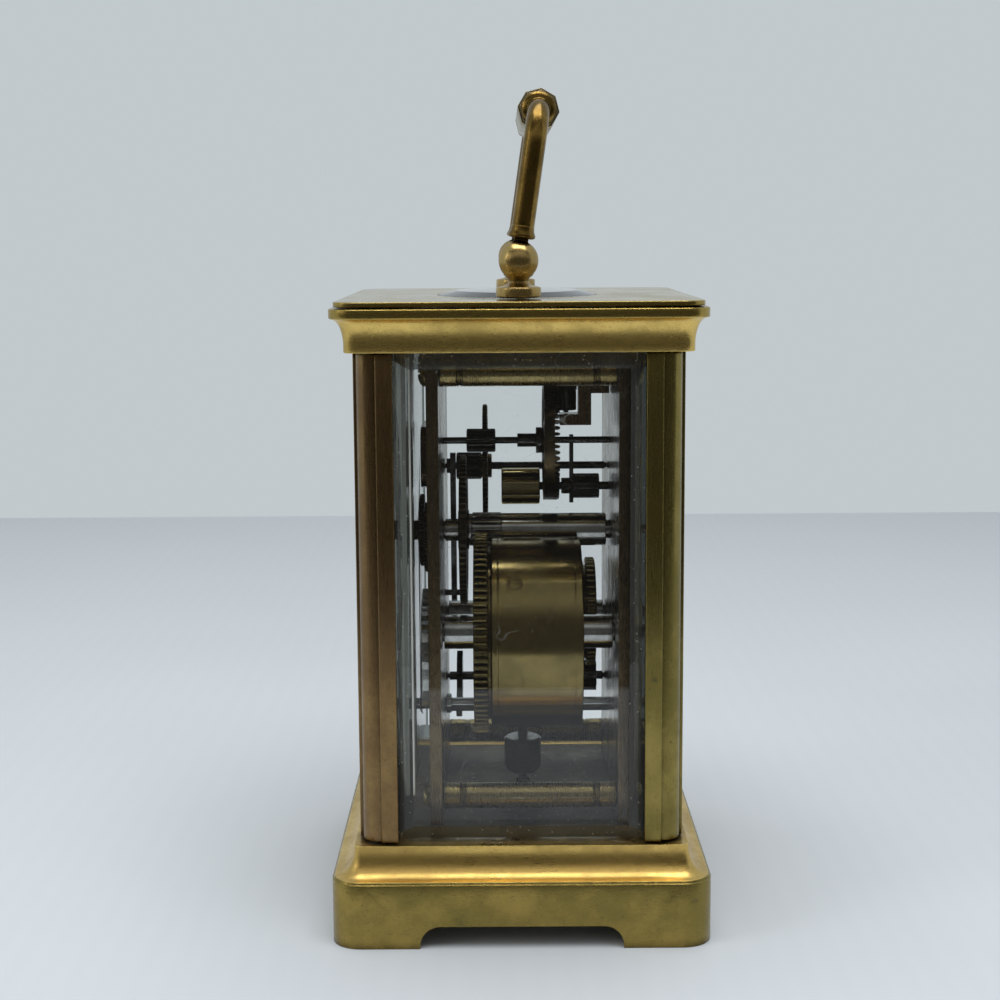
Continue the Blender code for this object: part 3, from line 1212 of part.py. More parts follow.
def make_centre():
    """The hollow centre arbor with its leaves and pipe, and the centre wheel."""
    bore = SETTING_RADIUS + PIVOT_PLAY
    end = BACK_PLATE_OUTER
    front = FRONT_PLATE_OUTER
    wheel_end = CENTRE_WHEEL_Y + CENTRE_WHEEL_THICKNESS
    root = GREAT_MESH.pinion_radius - PINION_TOOTH_SHARES[1] * GREAT_MESH.module
    profile = [(bore, end), (CENTRE_PIVOT_RADIUS, end), (CENTRE_PIVOT_RADIUS, CENTRE_PIPE_END),
               (CENTRE_PIPE_RADIUS, CENTRE_PIPE_END), (CENTRE_PIPE_RADIUS, CENTRE_LEAVES_END),
               (root, CENTRE_LEAVES_END), (root, CENTRE_LEAVES_START),
               (CENTRE_PIPE_RADIUS, CENTRE_LEAVES_START), (CENTRE_PIPE_RADIUS, wheel_end + SEAT_GAP),
               (CENTRE_SEAT_RADIUS, wheel_end + SEAT_GAP), (CENTRE_SEAT_RADIUS, FRONT_PLATE_INNER + FACE_GAP),
               (CENTRE_PIVOT_RADIUS, FRONT_PLATE_INNER + FACE_GAP), (CENTRE_PIVOT_RADIUS, front), (bore, front)]
    arbor = turned("centre_arbor", profile, steel("centre_arbor"), (0.0, 0.0, CENTRE_Z), closed=True)
    points = [GREAT_MESH.pinion(), circle(bore, TURN)]
    middle = (CENTRE_LEAVES_START + CENTRE_LEAVES_END) / 2
    join(arbor, flat("centre_leaves", points, CENTRE_LEAVES_END - CENTRE_LEAVES_START + SEAT_GAP, None,
                     (0.0, middle, CENTRE_Z)))
    make_wheel("centre_wheel", CENTRE_MESH, CENTRE_SEAT_RADIUS, CENTRE_WHEEL_THICKNESS,
               (0.0, CENTRE_WHEEL_Y + CENTRE_WHEEL_THICKNESS / 2, CENTRE_Z))


def make_wheel(name, mesh, seat_radius, thickness, place):
    """A spoked brass wheel on its seat."""
    rim = mesh.wheel_root - WHEEL_RIM
    hub = seat_radius + WHEEL_HUB
    loops = [mesh.wheel(), circle(seat_radius + PIVOT_PLAY, TURN)] + spoke_windows(rim, hub, WHEEL_SPOKE)
    return flat(name, loops, thickness, dark_brass(name), place)


def make_third():
    """The third arbor with its leaves, and the third wheel."""
    wheel_end = THIRD_WHEEL_Y + THIRD_WHEEL_THICKNESS
    arbor = stepped("third_arbor", [
        (THIRD_PIVOT_RADIUS, FIRST_LAYER_BACK - FRONT_COCK_THICKNESS / 2, FRONT_PLATE_INNER + FACE_GAP),
        (THIRD_COLLAR_RADIUS, FRONT_PLATE_INNER + FACE_GAP, FRONT_PLATE_INNER + FACE_GAP + THIRD_COLLAR_LENGTH),
        (THIRD_SHAFT_RADIUS, FRONT_PLATE_INNER + FACE_GAP + THIRD_COLLAR_LENGTH, BACK_PLATE_INNER - FACE_GAP),
        (THIRD_PIVOT_RADIUS, BACK_PLATE_INNER - FACE_GAP, BACK_PLATE_OUTER)], steel("third_arbor"), THIRD)
    join(arbor, leaves("third_leaves", CENTRE_MESH.pinion(), THIRD_LEAVES_START, THIRD_WHEEL_Y - SEAT_GAP, None,
                       THIRD))
    rim = THIRD_MESH.wheel_root - WHEEL_RIM
    loops = [THIRD_MESH.wheel(), circle(THIRD_SHAFT_RADIUS + PIVOT_PLAY, SMALL_TURN)]
    loops += spoke_windows(rim, THIRD_SHAFT_RADIUS + WHEEL_HUB, WHEEL_SPOKE)
    flat("third_wheel", loops, THIRD_WHEEL_THICKNESS, dark_brass("third_wheel"),
         (THIRD_X, (THIRD_WHEEL_Y + wheel_end) / 2, THIRD[1]))


def crown_teeth(name, at):
    """A ring whose teeth point along its axis, as sections taken round the rim."""
    base, tip = CONTRATE_FRONT + CONTRATE_WEB / 2, CONTRATE_TIP
    root = tip - CONTRATE_TOOTH
    inner, outer = CONTRATE_RIM_RADIUS - CONTRATE_RIM, CONTRATE_RIM_RADIUS
    bm = bmesh.new()
    sections = []
    for k in range(CONTRATE_TEETH):
        middle = math.pi / 2 + math.tau * k / CONTRATE_TEETH
        for share, level in ((-CONTRATE_ROOT_SHARE, root), (0.0, tip), (CONTRATE_ROOT_SHARE, root)):
            angle = middle + share * math.pi / CONTRATE_TEETH
            c, s = math.cos(angle), math.sin(angle)
            corners = ((inner, base), (outer, base), (outer, level), (inner, level))
            sections.append([bm.verts.new((r * c, y, r * s)) for r, y in corners])
    for a, b in zip(sections, sections[1:] + sections[:1]):
        for i in range(4):
            j = (i + 1) % 4
            bm.faces.new((a[i], a[j], b[j], b[i]))
    return add_mesh(name, mesh_from(bm, name), None, (at[0], 0.0, at[1]))


def make_contrate():
    """The contrate arbor and the wheel whose teeth turn the escape arbor."""
    leaves_end = CONTRATE_LEAVES_START + CONTRATE_LEAVES_LENGTH
    web_end = CONTRATE_FRONT + CONTRATE_WEB
    arbor = stepped("contrate_arbor", [
        (CONTRATE_SHAFT_RADIUS, FIRST_LAYER_BACK - FRONT_COCK_THICKNESS / 2, CONTRATE_BLOCK_START),
        (CONTRATE_BLOCK_RADIUS, CONTRATE_BLOCK_START, CONTRATE_HUB_START),
        (CONTRATE_HUB_RADIUS, CONTRATE_HUB_START, CONTRATE_FRONT - FACE_GAP),
        (CONTRATE_BLOCK_RADIUS, CONTRATE_FRONT - FACE_GAP, web_end + FACE_GAP),
        (CONTRATE_SHAFT_RADIUS, web_end + FACE_GAP, BACK_PLATE_OUTER)], steel("contrate_arbor"), CONTRATE)
    join(arbor, leaves("contrate_leaves", THIRD_MESH.pinion(), CONTRATE_LEAVES_START, leaves_end, None, CONTRATE))
    rim = CONTRATE_RIM_RADIUS - CONTRATE_RIM / 2
    loops = [circle(rim, FINE_TURN), circle(CONTRATE_BLOCK_RADIUS + PIVOT_PLAY, SMALL_TURN)]
    loops += spoke_windows(rim - CONTRATE_RIM, CONTRATE_BLOCK_RADIUS + WHEEL_HUB, WHEEL_SPOKE)
    wheel = flat("contrate_wheel", loops, CONTRATE_WEB, dark_brass("contrate_wheel"),
                 (0.0, CONTRATE_FRONT + CONTRATE_WEB / 2, CONTRATE_Z))
    return join(wheel, crown_teeth("crown_teeth", CONTRATE))


# Platform escapement

def make_platform():
    """The platform across the tops of the plates."""
    front = FRONT_PLATE_OUTER + PLATFORM_REBATE
    back = BACK_PLATE_OUTER - PLATFORM_REBATE
    middle_y = (front + back) / 2
    outline = rounded_rectangle(PLATFORM_WIDTH / 2, (back - front) / 2, PLATE_CORNER, 2, (0.0, middle_y))
    holes = [circle(ESCAPE_SHAFT_RADIUS + FACE_GAP, SMALL_TURN, (0.0, ESCAPE_Y))]
    return flat("platform", [outline] + holes, PLATFORM_THICKNESS, dark_brass("platform"),
                (0.0, 0.0, PLATFORM_BOTTOM + PLATFORM_THICKNESS / 2), UP_Z)


def make_potence():
    """The angle under the platform that carries the foot of the escape arbor."""
    half = POTENCE_WIDTH / 2
    arm_end = POTENCE_ARM_Y + POTENCE_ARM
    top = PLATFORM_BOTTOM - FACE_GAP
    arm = block("potence", (-half, POTENCE_ARM_Y, POTENCE_FOOT_Z), (half, arm_end, top), dark_brass("potence"))
    join(arm, block("potence_foot", (-half, POTENCE_FOOT_Y, POTENCE_FOOT_Z),
                    (half, (POTENCE_ARM_Y + arm_end) / 2, POTENCE_FOOT_Z + POTENCE_FOOT)))
    inset = half - SEAT_GAP
    return join(arm, block("potence_lug", (-inset, POTENCE_ARM_Y + SEAT_GAP, POTENCE_LUG_Z),
                           (inset, BACK_PLATE_INNER - FACE_GAP, POTENCE_LUG_Z + POTENCE_LUG_HEIGHT)))


def make_escape_wheel():
    """The escape arbor, collet, leaves and wheel, standing in the platform."""
    foot = POTENCE_FOOT_Z + POTENCE_FOOT + PIVOT_PLAY
    collet = foot + ESCAPE_SHAFT_RADIUS
    leaf_bottom = collet + ESCAPE_COLLET_LENGTH
    leaf_top = CONTRATE_Z + CONTRATE_RIM_RADIUS + CONTRATE_TOOTH
    wheel_z = PLATFORM_TOP + FACE_GAP + ESCAPE_WHEEL_THICKNESS / 2
    top = wheel_z + ESCAPE_WHEEL_THICKNESS * 2
    profile = [(0.0, top), (ESCAPE_SHAFT_RADIUS, top), (ESCAPE_SHAFT_RADIUS, leaf_bottom),
               (ESCAPE_COLLET_RADIUS, leaf_bottom), (ESCAPE_COLLET_RADIUS, collet), (ESCAPE_SHAFT_RADIUS, collet),
               (ESCAPE_SHAFT_RADIUS, foot), (0.0, foot)]
    item = turned("escape_wheel", profile, steel("escape_wheel"), (0.0, ESCAPE_Y, 0.0), UP_Z, SMALL_TURN)
    module = 2 * ESCAPE_PITCH_RADIUS / ESCAPE_PINION_TEETH
    phase = -math.pi / 2 + math.pi / ESCAPE_PINION_TEETH
    shape = gear_points(ESCAPE_PINION_TEETH, ESCAPE_PITCH_RADIUS, module, PINION_TOOTH_SHARES, phase)
    join(item, flat("escape_leaves", [shape], leaf_top - leaf_bottom + SEAT_GAP, None,
                    (0.0, ESCAPE_Y, (leaf_bottom + leaf_top - SEAT_GAP) / 2), UP_Z))
    teeth = ratchet_points(ESCAPE_TEETH, ESCAPE_WHEEL_RADIUS, ESCAPE_WHEEL_RADIUS / 4)
    windows = spoke_windows(ESCAPE_WHEEL_RADIUS * 0.6, ESCAPE_WHEEL_RADIUS * 0.32, ESCAPE_WHEEL_THICKNESS, 4)
    return join(item, flat("escape_teeth", [teeth] + windows, ESCAPE_WHEEL_THICKNESS, None,
                           (0.0, ESCAPE_Y, wheel_z), UP_Z))


def make_balance():
    """The balance wheel on its staff, its cock and its spiral spring."""
    rim_z = PLATFORM_TOP + BALANCE_LIFT
    staff_bottom = PLATFORM_TOP + PIVOT_PLAY
    staff_top = rim_z + BALANCE_RIM_HEIGHT * 1.6
    staff = [(0.0, staff_top), (STAFF_RADIUS, staff_top), (STAFF_RADIUS, staff_bottom), (0.0, staff_bottom)]
    wheel = turned("balance_wheel", staff, brass("balance_wheel"), (0.0, STAFF_Y, 0.0), UP_Z, SMALL_TURN)
    rim = spoke_windows(BALANCE_RADIUS - BALANCE_RIM, BALANCE_ARM, BALANCE_ARM, 3)
    join(wheel, flat("balance_rim", [circle(BALANCE_RADIUS, FINE_TURN)] + rim, BALANCE_RIM_HEIGHT, None,
                     (0.0, STAFF_Y, rim_z), UP_Z))
    cock_z = PLATFORM_TOP + COCK_HEADROOM
    half = COCK_WIDTH / 2
    foot_back = STAFF_Y - BALANCE_RADIUS - SEAT_GAP * 4
    foot_front = foot_back - COCK_FOOT_LENGTH
    outline = [(-half, foot_front), (half, foot_front), (half, foot_back), (half / 2, STAFF_Y)]
    outline += arc((0.0, STAFF_Y), half / 2, 0.0, math.pi, 8)[1:] + [(-half, foot_back)]
    cock = flat("balance_cock", [outline], COCK_THICKNESS, brass("balance_cock"),
                (0.0, 0.0, cock_z + COCK_THICKNESS / 2), UP_Z)
    join(cock, block("cock_foot", (-half + SEAT_GAP, foot_front + SEAT_GAP, PLATFORM_TOP + FACE_GAP),
                     (half - SEAT_GAP, foot_back - SEAT_GAP, cock_z + COCK_THICKNESS / 2)))
    make_balance_spring(rim_z + BALANCE_RIM_HEIGHT)


def make_balance_spring(z):
    """The flat spiral between the balance and its cock."""
    count = SPRING_TURNS * SPRING_POINTS
    points = []
    for i in range(count + 1):
        turn = i / SPRING_POINTS
        radius = SPRING_INNER + SPRING_PITCH * turn
        angle = math.tau * turn
        points.append((radius * math.cos(angle), STAFF_Y + radius * math.sin(angle), z))
    gaps = [math.dist(points[i], points[j]) - 2 * SPRING_WIRE
            for i in range(count + 1) for j in range(i + SPRING_POINTS - 1, count + 1)]
    print("balance spring: least gap between turns", round(min(gaps) * 1000, 3), "mm")
    tube("balance_spring", points, SPRING_WIRE, blued("balance_spring"), 1)


# Motion work, dial and hands

def make_setting_arbor():
    """The arbor through the centre arbor, with the cannon's leaves and the setting square."""
    arbor = stepped("setting_arbor", [(SETTING_RADIUS, HAND_TIP_Y, FIRST_LAYER_FRONT + SEAT_GAP),
                                      (SETTING_RADIUS, FIRST_LAYER_FRONT + SEAT_GAP, SQUARE_END)],
                    steel("setting_arbor"), CENTRE)
    join(arbor, leaves("cannon_leaves", CANNON_MESH.pinion(), FIRST_LAYER_FRONT, FIRST_LAYER_BACK, None, CENTRE))
    side = SETTING_RADIUS * math.sqrt(2.0)
    return cut(arbor, square_end("setting_square", side, BACK_PLATE_OUTER + FACE_GAP, CENTRE, BARREL_ARBOR_RADIUS))


def make_motion_work():
    """The minute wheel, and the hour wheel on its pipe."""
    minute = rod("minute_wheel", MINUTE_AXLE_RADIUS, SECOND_LAYER_FRONT, FRONT_PLATE_INNER, dark_brass("minute_wheel"),
                 MINUTE_WHEEL)
    join(minute, flat("minute_teeth", [CANNON_MESH.wheel()], MOTION_THICKNESS, None,
                      (MINUTE_WHEEL_X, (FIRST_LAYER_BACK + FIRST_LAYER_FRONT) / 2, CENTRE_Z)))
    join(minute, leaves("minute_leaves", HOUR_MESH.pinion(), SECOND_LAYER_FRONT, FIRST_LAYER_FRONT + SEAT_GAP, None,
                        MINUTE_WHEEL))
    bore = SETTING_RADIUS + PIVOT_PLAY
    pipe_end = HOUR_HAND_Y - HAND_THICKNESS - SEAT_GAP
    inside = (SECOND_LAYER_BACK + SECOND_LAYER_FRONT) / 2
    profile = [(bore, inside), (HOUR_PIPE_RADIUS, inside), (HOUR_PIPE_RADIUS, pipe_end), (bore, pipe_end)]
    hour = turned("hour_wheel", profile, dark_brass("hour_wheel"), (0.0, 0.0, CENTRE_Z), closed=True, steps=TURN)
    return join(hour, flat("hour_teeth", [HOUR_MESH.wheel(), circle(bore, TURN)], MOTION_THICKNESS, None,
                           (0.0, inside, CENTRE_Z)))


def make_dial():
    """The dial plate on three feet that reach the front plate."""
    bottom, top = PLATE_BOTTOM + DIAL_INSET_BOTTOM, PLATE_TOP - DIAL_INSET_TOP
    loops = [rounded_rectangle(DIAL_WIDTH / 2, (top - bottom) / 2, DIAL_CORNER, 2, (0.0, (bottom + top) / 2)),
             circle(HOUR_PIPE_RADIUS + FACE_GAP, TURN, CENTRE), circle(SETTING_RADIUS + FACE_GAP, SMALL_TURN, ALARM_SET)]
    dial = flat("dial", loops, DIAL_THICKNESS, enamel("dial"), (0.0, DIAL_FRONT + DIAL_THICKNESS / 2, 0.0))
    inset_x = DIAL_WIDTH / 2 - PLATE_PILLAR_INSET_X
    high = CONTRATE_Z
    low = ALARM_SET[1]
    for k, at in enumerate(((inset_x, high), (-inset_x, high), (-inset_x, low))):
        join(dial, rod("dial_foot_%d" % k, DIAL_FOOT_RADIUS, DIAL_FRONT + DIAL_THICKNESS / 2,
                       FRONT_PLATE_OUTER - FACE_GAP, None, at))
    return dial


def hand_outline(length, bore, width_share):
    """A spade hand that points along +X, with a round boss."""
    boss = bore + HAND_BOSS_RIM
    stem = boss * 0.3
    spade = length * width_share
    start = math.asin(stem / boss)
    points = arc((0.0, 0.0), boss, start, math.tau - start, 14)
    lower = [(length * 0.62, -stem), (length * 0.70, -spade), (length * 0.80, -spade * 0.7)]
    return points + lower + [(length, 0.0)] + [(x, -y) for x, y in reversed(lower)]


def make_hand(name, length, bore, angle, y, at, width_share, material):
    """One hand, set at its angle from +X."""
    return flat(name, [hand_outline(length, bore, width_share), circle(bore, SMALL_TURN)], HAND_THICKNESS, material,
                (at[0], y - HAND_THICKNESS / 2, at[1]), (math.radians(90.0), -angle, 0.0))


def make_hands():
    """Hour and minute hands."""
    make_hand("hour_hand", HOUR_HAND_LENGTH, HOUR_PIPE_RADIUS + PIVOT_PLAY, HOUR_HAND_ANGLE, HOUR_HAND_Y, CENTRE, 0.13,
              blued("hour_hand"))
    make_hand("minute_hand", MINUTE_HAND_LENGTH, SETTING_RADIUS + PIVOT_PLAY, MINUTE_HAND_ANGLE, MINUTE_HAND_Y, CENTRE,
              0.07, blued("minute_hand"))


# Alarm work

def make_alarm_barrel():
    """The alarm's mainspring barrel with its great wheel near the back plate."""
    bore = ALARM_ARBOR_RADIUS + PIVOT_PLAY
    end = ALARM_DRUM_Y + ALARM_DRUM_LENGTH
    wheel_end = ALARM_GREAT_Y + ALARM_GREAT_THICKNESS
    inside = ALARM_GREAT_Y + ALARM_GREAT_THICKNESS / 2
    neck = ALARM_DRUM_RADIUS - ALARM_GREAT_THICKNESS / 2
    profile = [(bore, inside), (neck, inside), (neck, end), (ALARM_DRUM_RADIUS, end),
               (ALARM_DRUM_RADIUS, ALARM_DRUM_Y), (bore, ALARM_DRUM_Y)]
    barrel = turned("alarm_barrel", profile, brass("alarm_barrel"), (ALARM_BARREL_X, 0.0, ALARM_BARREL[1]),
                    steps=FINE_TURN, closed=True)
    return join(barrel, flat("alarm_great_teeth", [ALARM_MESH.wheel(), circle(bore, FINE_TURN)],
                             ALARM_GREAT_THICKNESS, None,
                             (ALARM_BARREL_X, (ALARM_GREAT_Y + wheel_end) / 2, ALARM_BARREL[1])))


def make_alarm_arbor():
    """The alarm barrel's arbor, with its own winding square."""
    arbor = stepped("alarm_arbor", [
        (ALARM_PIVOT_RADIUS, FRONT_PLATE_OUTER, FRONT_PLATE_INNER + FACE_GAP),
        (ALARM_ARBOR_RADIUS, FRONT_PLATE_INNER + FACE_GAP, BACK_PLATE_INNER - FACE_GAP),
        (ALARM_PIVOT_RADIUS, BACK_PLATE_INNER - FACE_GAP, SQUARE_END)], steel("alarm_arbor"), ALARM_BARREL)
    side = ALARM_PIVOT_RADIUS * math.sqrt(2.0)
    return cut(arbor, square_end("alarm_square", side, BACK_PLATE_OUTER + FACE_GAP, ALARM_BARREL, BARREL_ARBOR_RADIUS))


def make_alarm_escape():
    """The alarm's ratchet arbor: leaves at the back, saw-toothed wheel at the front."""
    item = stepped("alarm_ratchet_wheel", [
        (THIRD_PIVOT_RADIUS, FRONT_PLATE_OUTER, FRONT_PLATE_INNER + FACE_GAP),
        (ALARM_ESCAPE_SHAFT, FRONT_PLATE_INNER + FACE_GAP, BACK_PLATE_INNER - FACE_GAP),
        (THIRD_PIVOT_RADIUS, BACK_PLATE_INNER - FACE_GAP, BACK_PLATE_OUTER)], dark_brass("alarm_ratchet"),
        ALARM_ESCAPE)
    join(item, leaves("alarm_leaves", ALARM_MESH.pinion(), ALARM_GREAT_Y - ALARM_LEAVES_OVERLAP,
                      ALARM_GREAT_Y + ALARM_GREAT_THICKNESS + ALARM_LEAVES_OVERLAP, None, ALARM_ESCAPE))
    teeth = ratchet_points(ALARM_ESCAPE_TEETH, ALARM_ESCAPE_RADIUS, ALARM_TOOTH_DEPTH)
    y = ALARM_ESCAPE_Y + ALARM_ESCAPE_THICKNESS / 2
    return join(item, flat("alarm_saw_teeth", [teeth], ALARM_ESCAPE_THICKNESS, None,
                           (ALARM_BARREL_X, y, ALARM_ESCAPE[1])))


def bar_outline(start, end, half_start, half_end):
    """A tapering bar with round ends, between two places."""
    angle = bearing(start, end)
    first = arc(start, half_start, angle + math.pi / 2, angle + 1.5 * math.pi)
    return first + arc(end, half_end, angle - math.pi / 2, angle + math.pi / 2)


def make_hammer():
    """The hammer: arbor, pallet, stalk, head and the striker that reaches the bell."""
    hammer = stepped("alarm_hammer", [
        (HAMMER_SHAFT_RADIUS, FRONT_PLATE_OUTER, BACK_PLATE_OUTER)], blued("alarm_hammer"), HAMMER)
    reach = math.dist(HAMMER, ALARM_ESCAPE) - ALARM_ESCAPE_RADIUS - FACE_GAP - PALLET_WIDTH / 2
    angle = bearing(HAMMER, ALARM_ESCAPE)
    tip = (reach * math.cos(angle), reach * math.sin(angle))
    y = ALARM_ESCAPE_Y + ALARM_ESCAPE_THICKNESS / 2
    join(hammer, flat("pallet", [bar_outline((0.0, 0.0), tip, HAMMER_HUB, PALLET_WIDTH / 2)],
                      ALARM_ESCAPE_THICKNESS, None, (HAMMER_X, y, HAMMER[1])))
    head_bottom = BASE_HEIGHT + HAMMER_HEAD_LIFT
    head_top = head_bottom + HAMMER_HEAD_HEIGHT
    stalk_end = (HAMMER_HEAD_X - HAMMER_X, head_top - HAMMER_STALK_HEIGHT / 4 - HAMMER[1])
    join(hammer, flat("stalk", [bar_outline((0.0, 0.0), stalk_end, HAMMER_HUB, HAMMER_STALK_HEIGHT / 2)],
                      HAMMER_STALK_WIDTH, None, (HAMMER_X, HAMMER_HEAD_Y, HAMMER[1])))
    striker_bottom = head_bottom - STRIKER_DROP
    profile = [(0.0, head_top), (HAMMER_HEAD_RADIUS, head_top), (HAMMER_HEAD_RADIUS, head_bottom + HAMMER_HEAD_ROUND),
               (HAMMER_HEAD_RADIUS - HAMMER_HEAD_ROUND, head_bottom), (STRIKER_RADIUS, head_bottom),
               (STRIKER_RADIUS, striker_bottom), (0.0, striker_bottom)]
    return join(hammer, turned("head", profile, None, (HAMMER_HEAD_X, HAMMER_HEAD_Y, 0.0), UP_Z, TURN))


def make_bell():
    """The bell in the hollow base, and the screw that hangs it from the floor."""
    crown = LEDGE_BOTTOM - BELL_CROWN_DROP
    mouth = crown - BELL_HEIGHT
    hole = BELL_SCREW_RADIUS + FACE_GAP
    outer, inner = [], []
    for i in range(ARC_STEPS + 1):
        angle = math.pi / 2 * (1 - i / ARC_STEPS)
        outer.append((max(hole, BELL_RIM * math.cos(angle)), mouth + BELL_HEIGHT * math.sin(angle)))
        inner.append((max(hole, (BELL_RIM - BELL_WALL) * math.cos(angle)),
                      mouth + (BELL_HEIGHT - BELL_WALL) * math.sin(angle)))
    turned("bell", outer + list(reversed(inner)), brass("bell"), (BELL_PLACE, 0.0, 0.0), UP_Z, FINE_TURN, closed=True)
    head_bottom = BASE_HEIGHT + SEAT_GAP
    shoulder = FLOOR_BOTTOM - SEAT_GAP
    nut_top = crown - BELL_WALL - SEAT_GAP
    profile = [(0.0, head_bottom + BELL_SCREW_RADIUS), (BELL_SCREW_HEAD, head_bottom + BELL_SCREW_RADIUS),
               (BELL_SCREW_HEAD, head_bottom), (BELL_SCREW_RADIUS, head_bottom), (BELL_SCREW_RADIUS, shoulder),
               (BELL_SCREW_HEAD, shoulder), (BELL_SCREW_HEAD, crown + SEAT_GAP), (BELL_SCREW_RADIUS, crown + SEAT_GAP),
               (BELL_SCREW_RADIUS, nut_top), (BELL_SCREW_HEAD, nut_top), (BELL_SCREW_HEAD, nut_top - BELL_SCREW_RADIUS),
               (0.0, nut_top - BELL_SCREW_RADIUS)]
    turned("bell_screw", profile, steel("bell_screw"), (BELL_PLACE, 0.0, 0.0), UP_Z, SMALL_TURN)


def make_release():
    """The release arbor in the back plate: sleeve, hub, blade and ribbed drum."""
    sleeve_end = RELEASE_SLEEVE_Y + RELEASE_SLEEVE_LENGTH
    blade_end = RELEASE_BLADE_Y + RELEASE_BLADE_THICKNESS
    item = stepped("release_arbor", [
        (RELEASE_SLEEVE_RADIUS, RELEASE_SLEEVE_Y, sleeve_end), (RELEASE_SHAFT, sleeve_end, RELEASE_HUB_Y),
        (RELEASE_HUB_RADIUS, RELEASE_HUB_Y, RELEASE_BLADE_Y + RELEASE_BLADE_THICKNESS / 2),
        (RELEASE_SHAFT, RELEASE_BLADE_Y + RELEASE_BLADE_THICKNESS / 2, BACK_PLATE_OUTER)],
        steel("release_arbor"), RELEASE)
    half = RELEASE_BLADE_WIDTH / 2
    blade = bar_outline((0.0, -RELEASE_BLADE_DOWN), (0.0, RELEASE_BLADE_UP), half, half * 0.8)
    join(item, flat("release_blade", [blade], RELEASE_BLADE_THICKNESS, None,
                    (RELEASE_X, RELEASE_BLADE_Y + RELEASE_BLADE_THICKNESS / 2, RELEASE[1])))
    module = 2 * RELEASE_DRUM_RADIUS / (RELEASE_RIBS + 2 * PINION_TOOTH_SHARES[0])
    ribs = gear_points(RELEASE_RIBS, module * RELEASE_RIBS / 2, module, PINION_TOOTH_SHARES, 0.0)
    return join(item, leaves("release_ribs", ribs, blade_end - SEAT_GAP, RELEASE_DRUM_END, None, RELEASE))


def make_detent():
    """The thin detent lever behind the front plate, which holds the alarm back."""
    lever = rod("alarm_detent", DETENT_PIVOT, FRONT_PLATE_OUTER, DETENT_END, blued("alarm_detent"), DETENT)
    outline = bar_outline((0.0, 0.0), (DETENT_OFFSET, DETENT_RISE), DETENT_WIDTH / 2, DETENT_TIP_WIDTH / 2)
    return join(lever, flat("detent_blade", [outline], DETENT_THICKNESS, None,
                            (DETENT_X, DETENT_Y + DETENT_THICKNESS / 2, DETENT[1])))


def make_alarm_setting():
    """The arbor that carries the alarm's hand, set from the back."""
    collar = SETTING_RADIUS + HAND_BOSS_RIM
    arbor = stepped("alarm_setting_arbor", [
        (SETTING_RADIUS, HOUR_HAND_Y - HAND_THICKNESS - SEAT_GAP, FRONT_PLATE_INNER + FACE_GAP),
        (collar, FRONT_PLATE_INNER + FACE_GAP, FRONT_PLATE_INNER + 2 * FACE_GAP + HAND_BOSS_RIM),
        (SETTING_RADIUS, FRONT_PLATE_INNER + 2 * FACE_GAP + HAND_BOSS_RIM, SQUARE_END)],
        steel("alarm_setting_arbor"), ALARM_SET)
    side = SETTING_RADIUS * math.sqrt(2.0)
    cut(arbor, square_end("alarm_setting_square", side, BACK_PLATE_OUTER + FACE_GAP, ALARM_SET, BARREL_ARBOR_RADIUS))
    return join(arbor, flat("alarm_hand", [hand_outline(ALARM_HAND_LENGTH, SETTING_RADIUS, 0.12)], HAND_THICKNESS, None,
                            (0.0, HOUR_HAND_Y - HAND_THICKNESS / 2, ALARM_SET[1]),
                            (math.radians(90.0), -ALARM_HAND_ANGLE, 0.0)))


def make_movement():
    """The pieces between the panes, held by one empty at the plates' foot that fits them to the case."""
    before = set(PARTS.objects) | set(CUTTERS.objects)
    for make in (make_plates, make_plate_pillars, make_front_cock, make_going_barrel, make_barrel_arbor,
                 make_ratchet, make_click, make_centre, make_third, make_contrate, make_platform, make_potence,
                 make_escape_wheel, make_balance, make_setting_arbor, make_motion_work, make_dial, make_hands,
                 make_alarm_barrel, make_alarm_arbor, make_alarm_escape, make_hammer, make_release, make_detent,
                 make_alarm_setting):
        make()
    made = [item for item in list(PARTS.objects) + list(CUTTERS.objects) if item not in before]
    frame = bpy.data.objects.new("movement", None)
    frame.location = (0.0, 0.0, PLATE_BOTTOM)
    frame.scale = (MOVEMENT_FIT,) * 3
    PARTS.objects.link(frame)
    for item in made:
        item.parent = frame
        item.matrix_parent_inverse = Matrix.Translation((0.0, 0.0, -PLATE_BOTTOM))


def make_clock():
    """Build every piece."""
    make_base()
    make_floor()
    make_pillars()
    make_panes()
    make_cornice()
    make_top_plate()
    make_top_glass()
    make_door()
    make_handle()
    make_bell()
    make_movement()


make_clock()
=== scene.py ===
# %% [markdown]
# # A carriage alarm clock
# The clock is a glazed brass case with a folding handle. Its geared movement stands between two
# plates and shows through bevelled glass.
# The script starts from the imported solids, which hold every size. It gives each one a finish, and
# models again by hand the pieces whose teeth, turnings and numerals were too fine for the solids.

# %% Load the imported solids
import json
import math

import bmesh
import bpy
from mathutils import Matrix, Vector


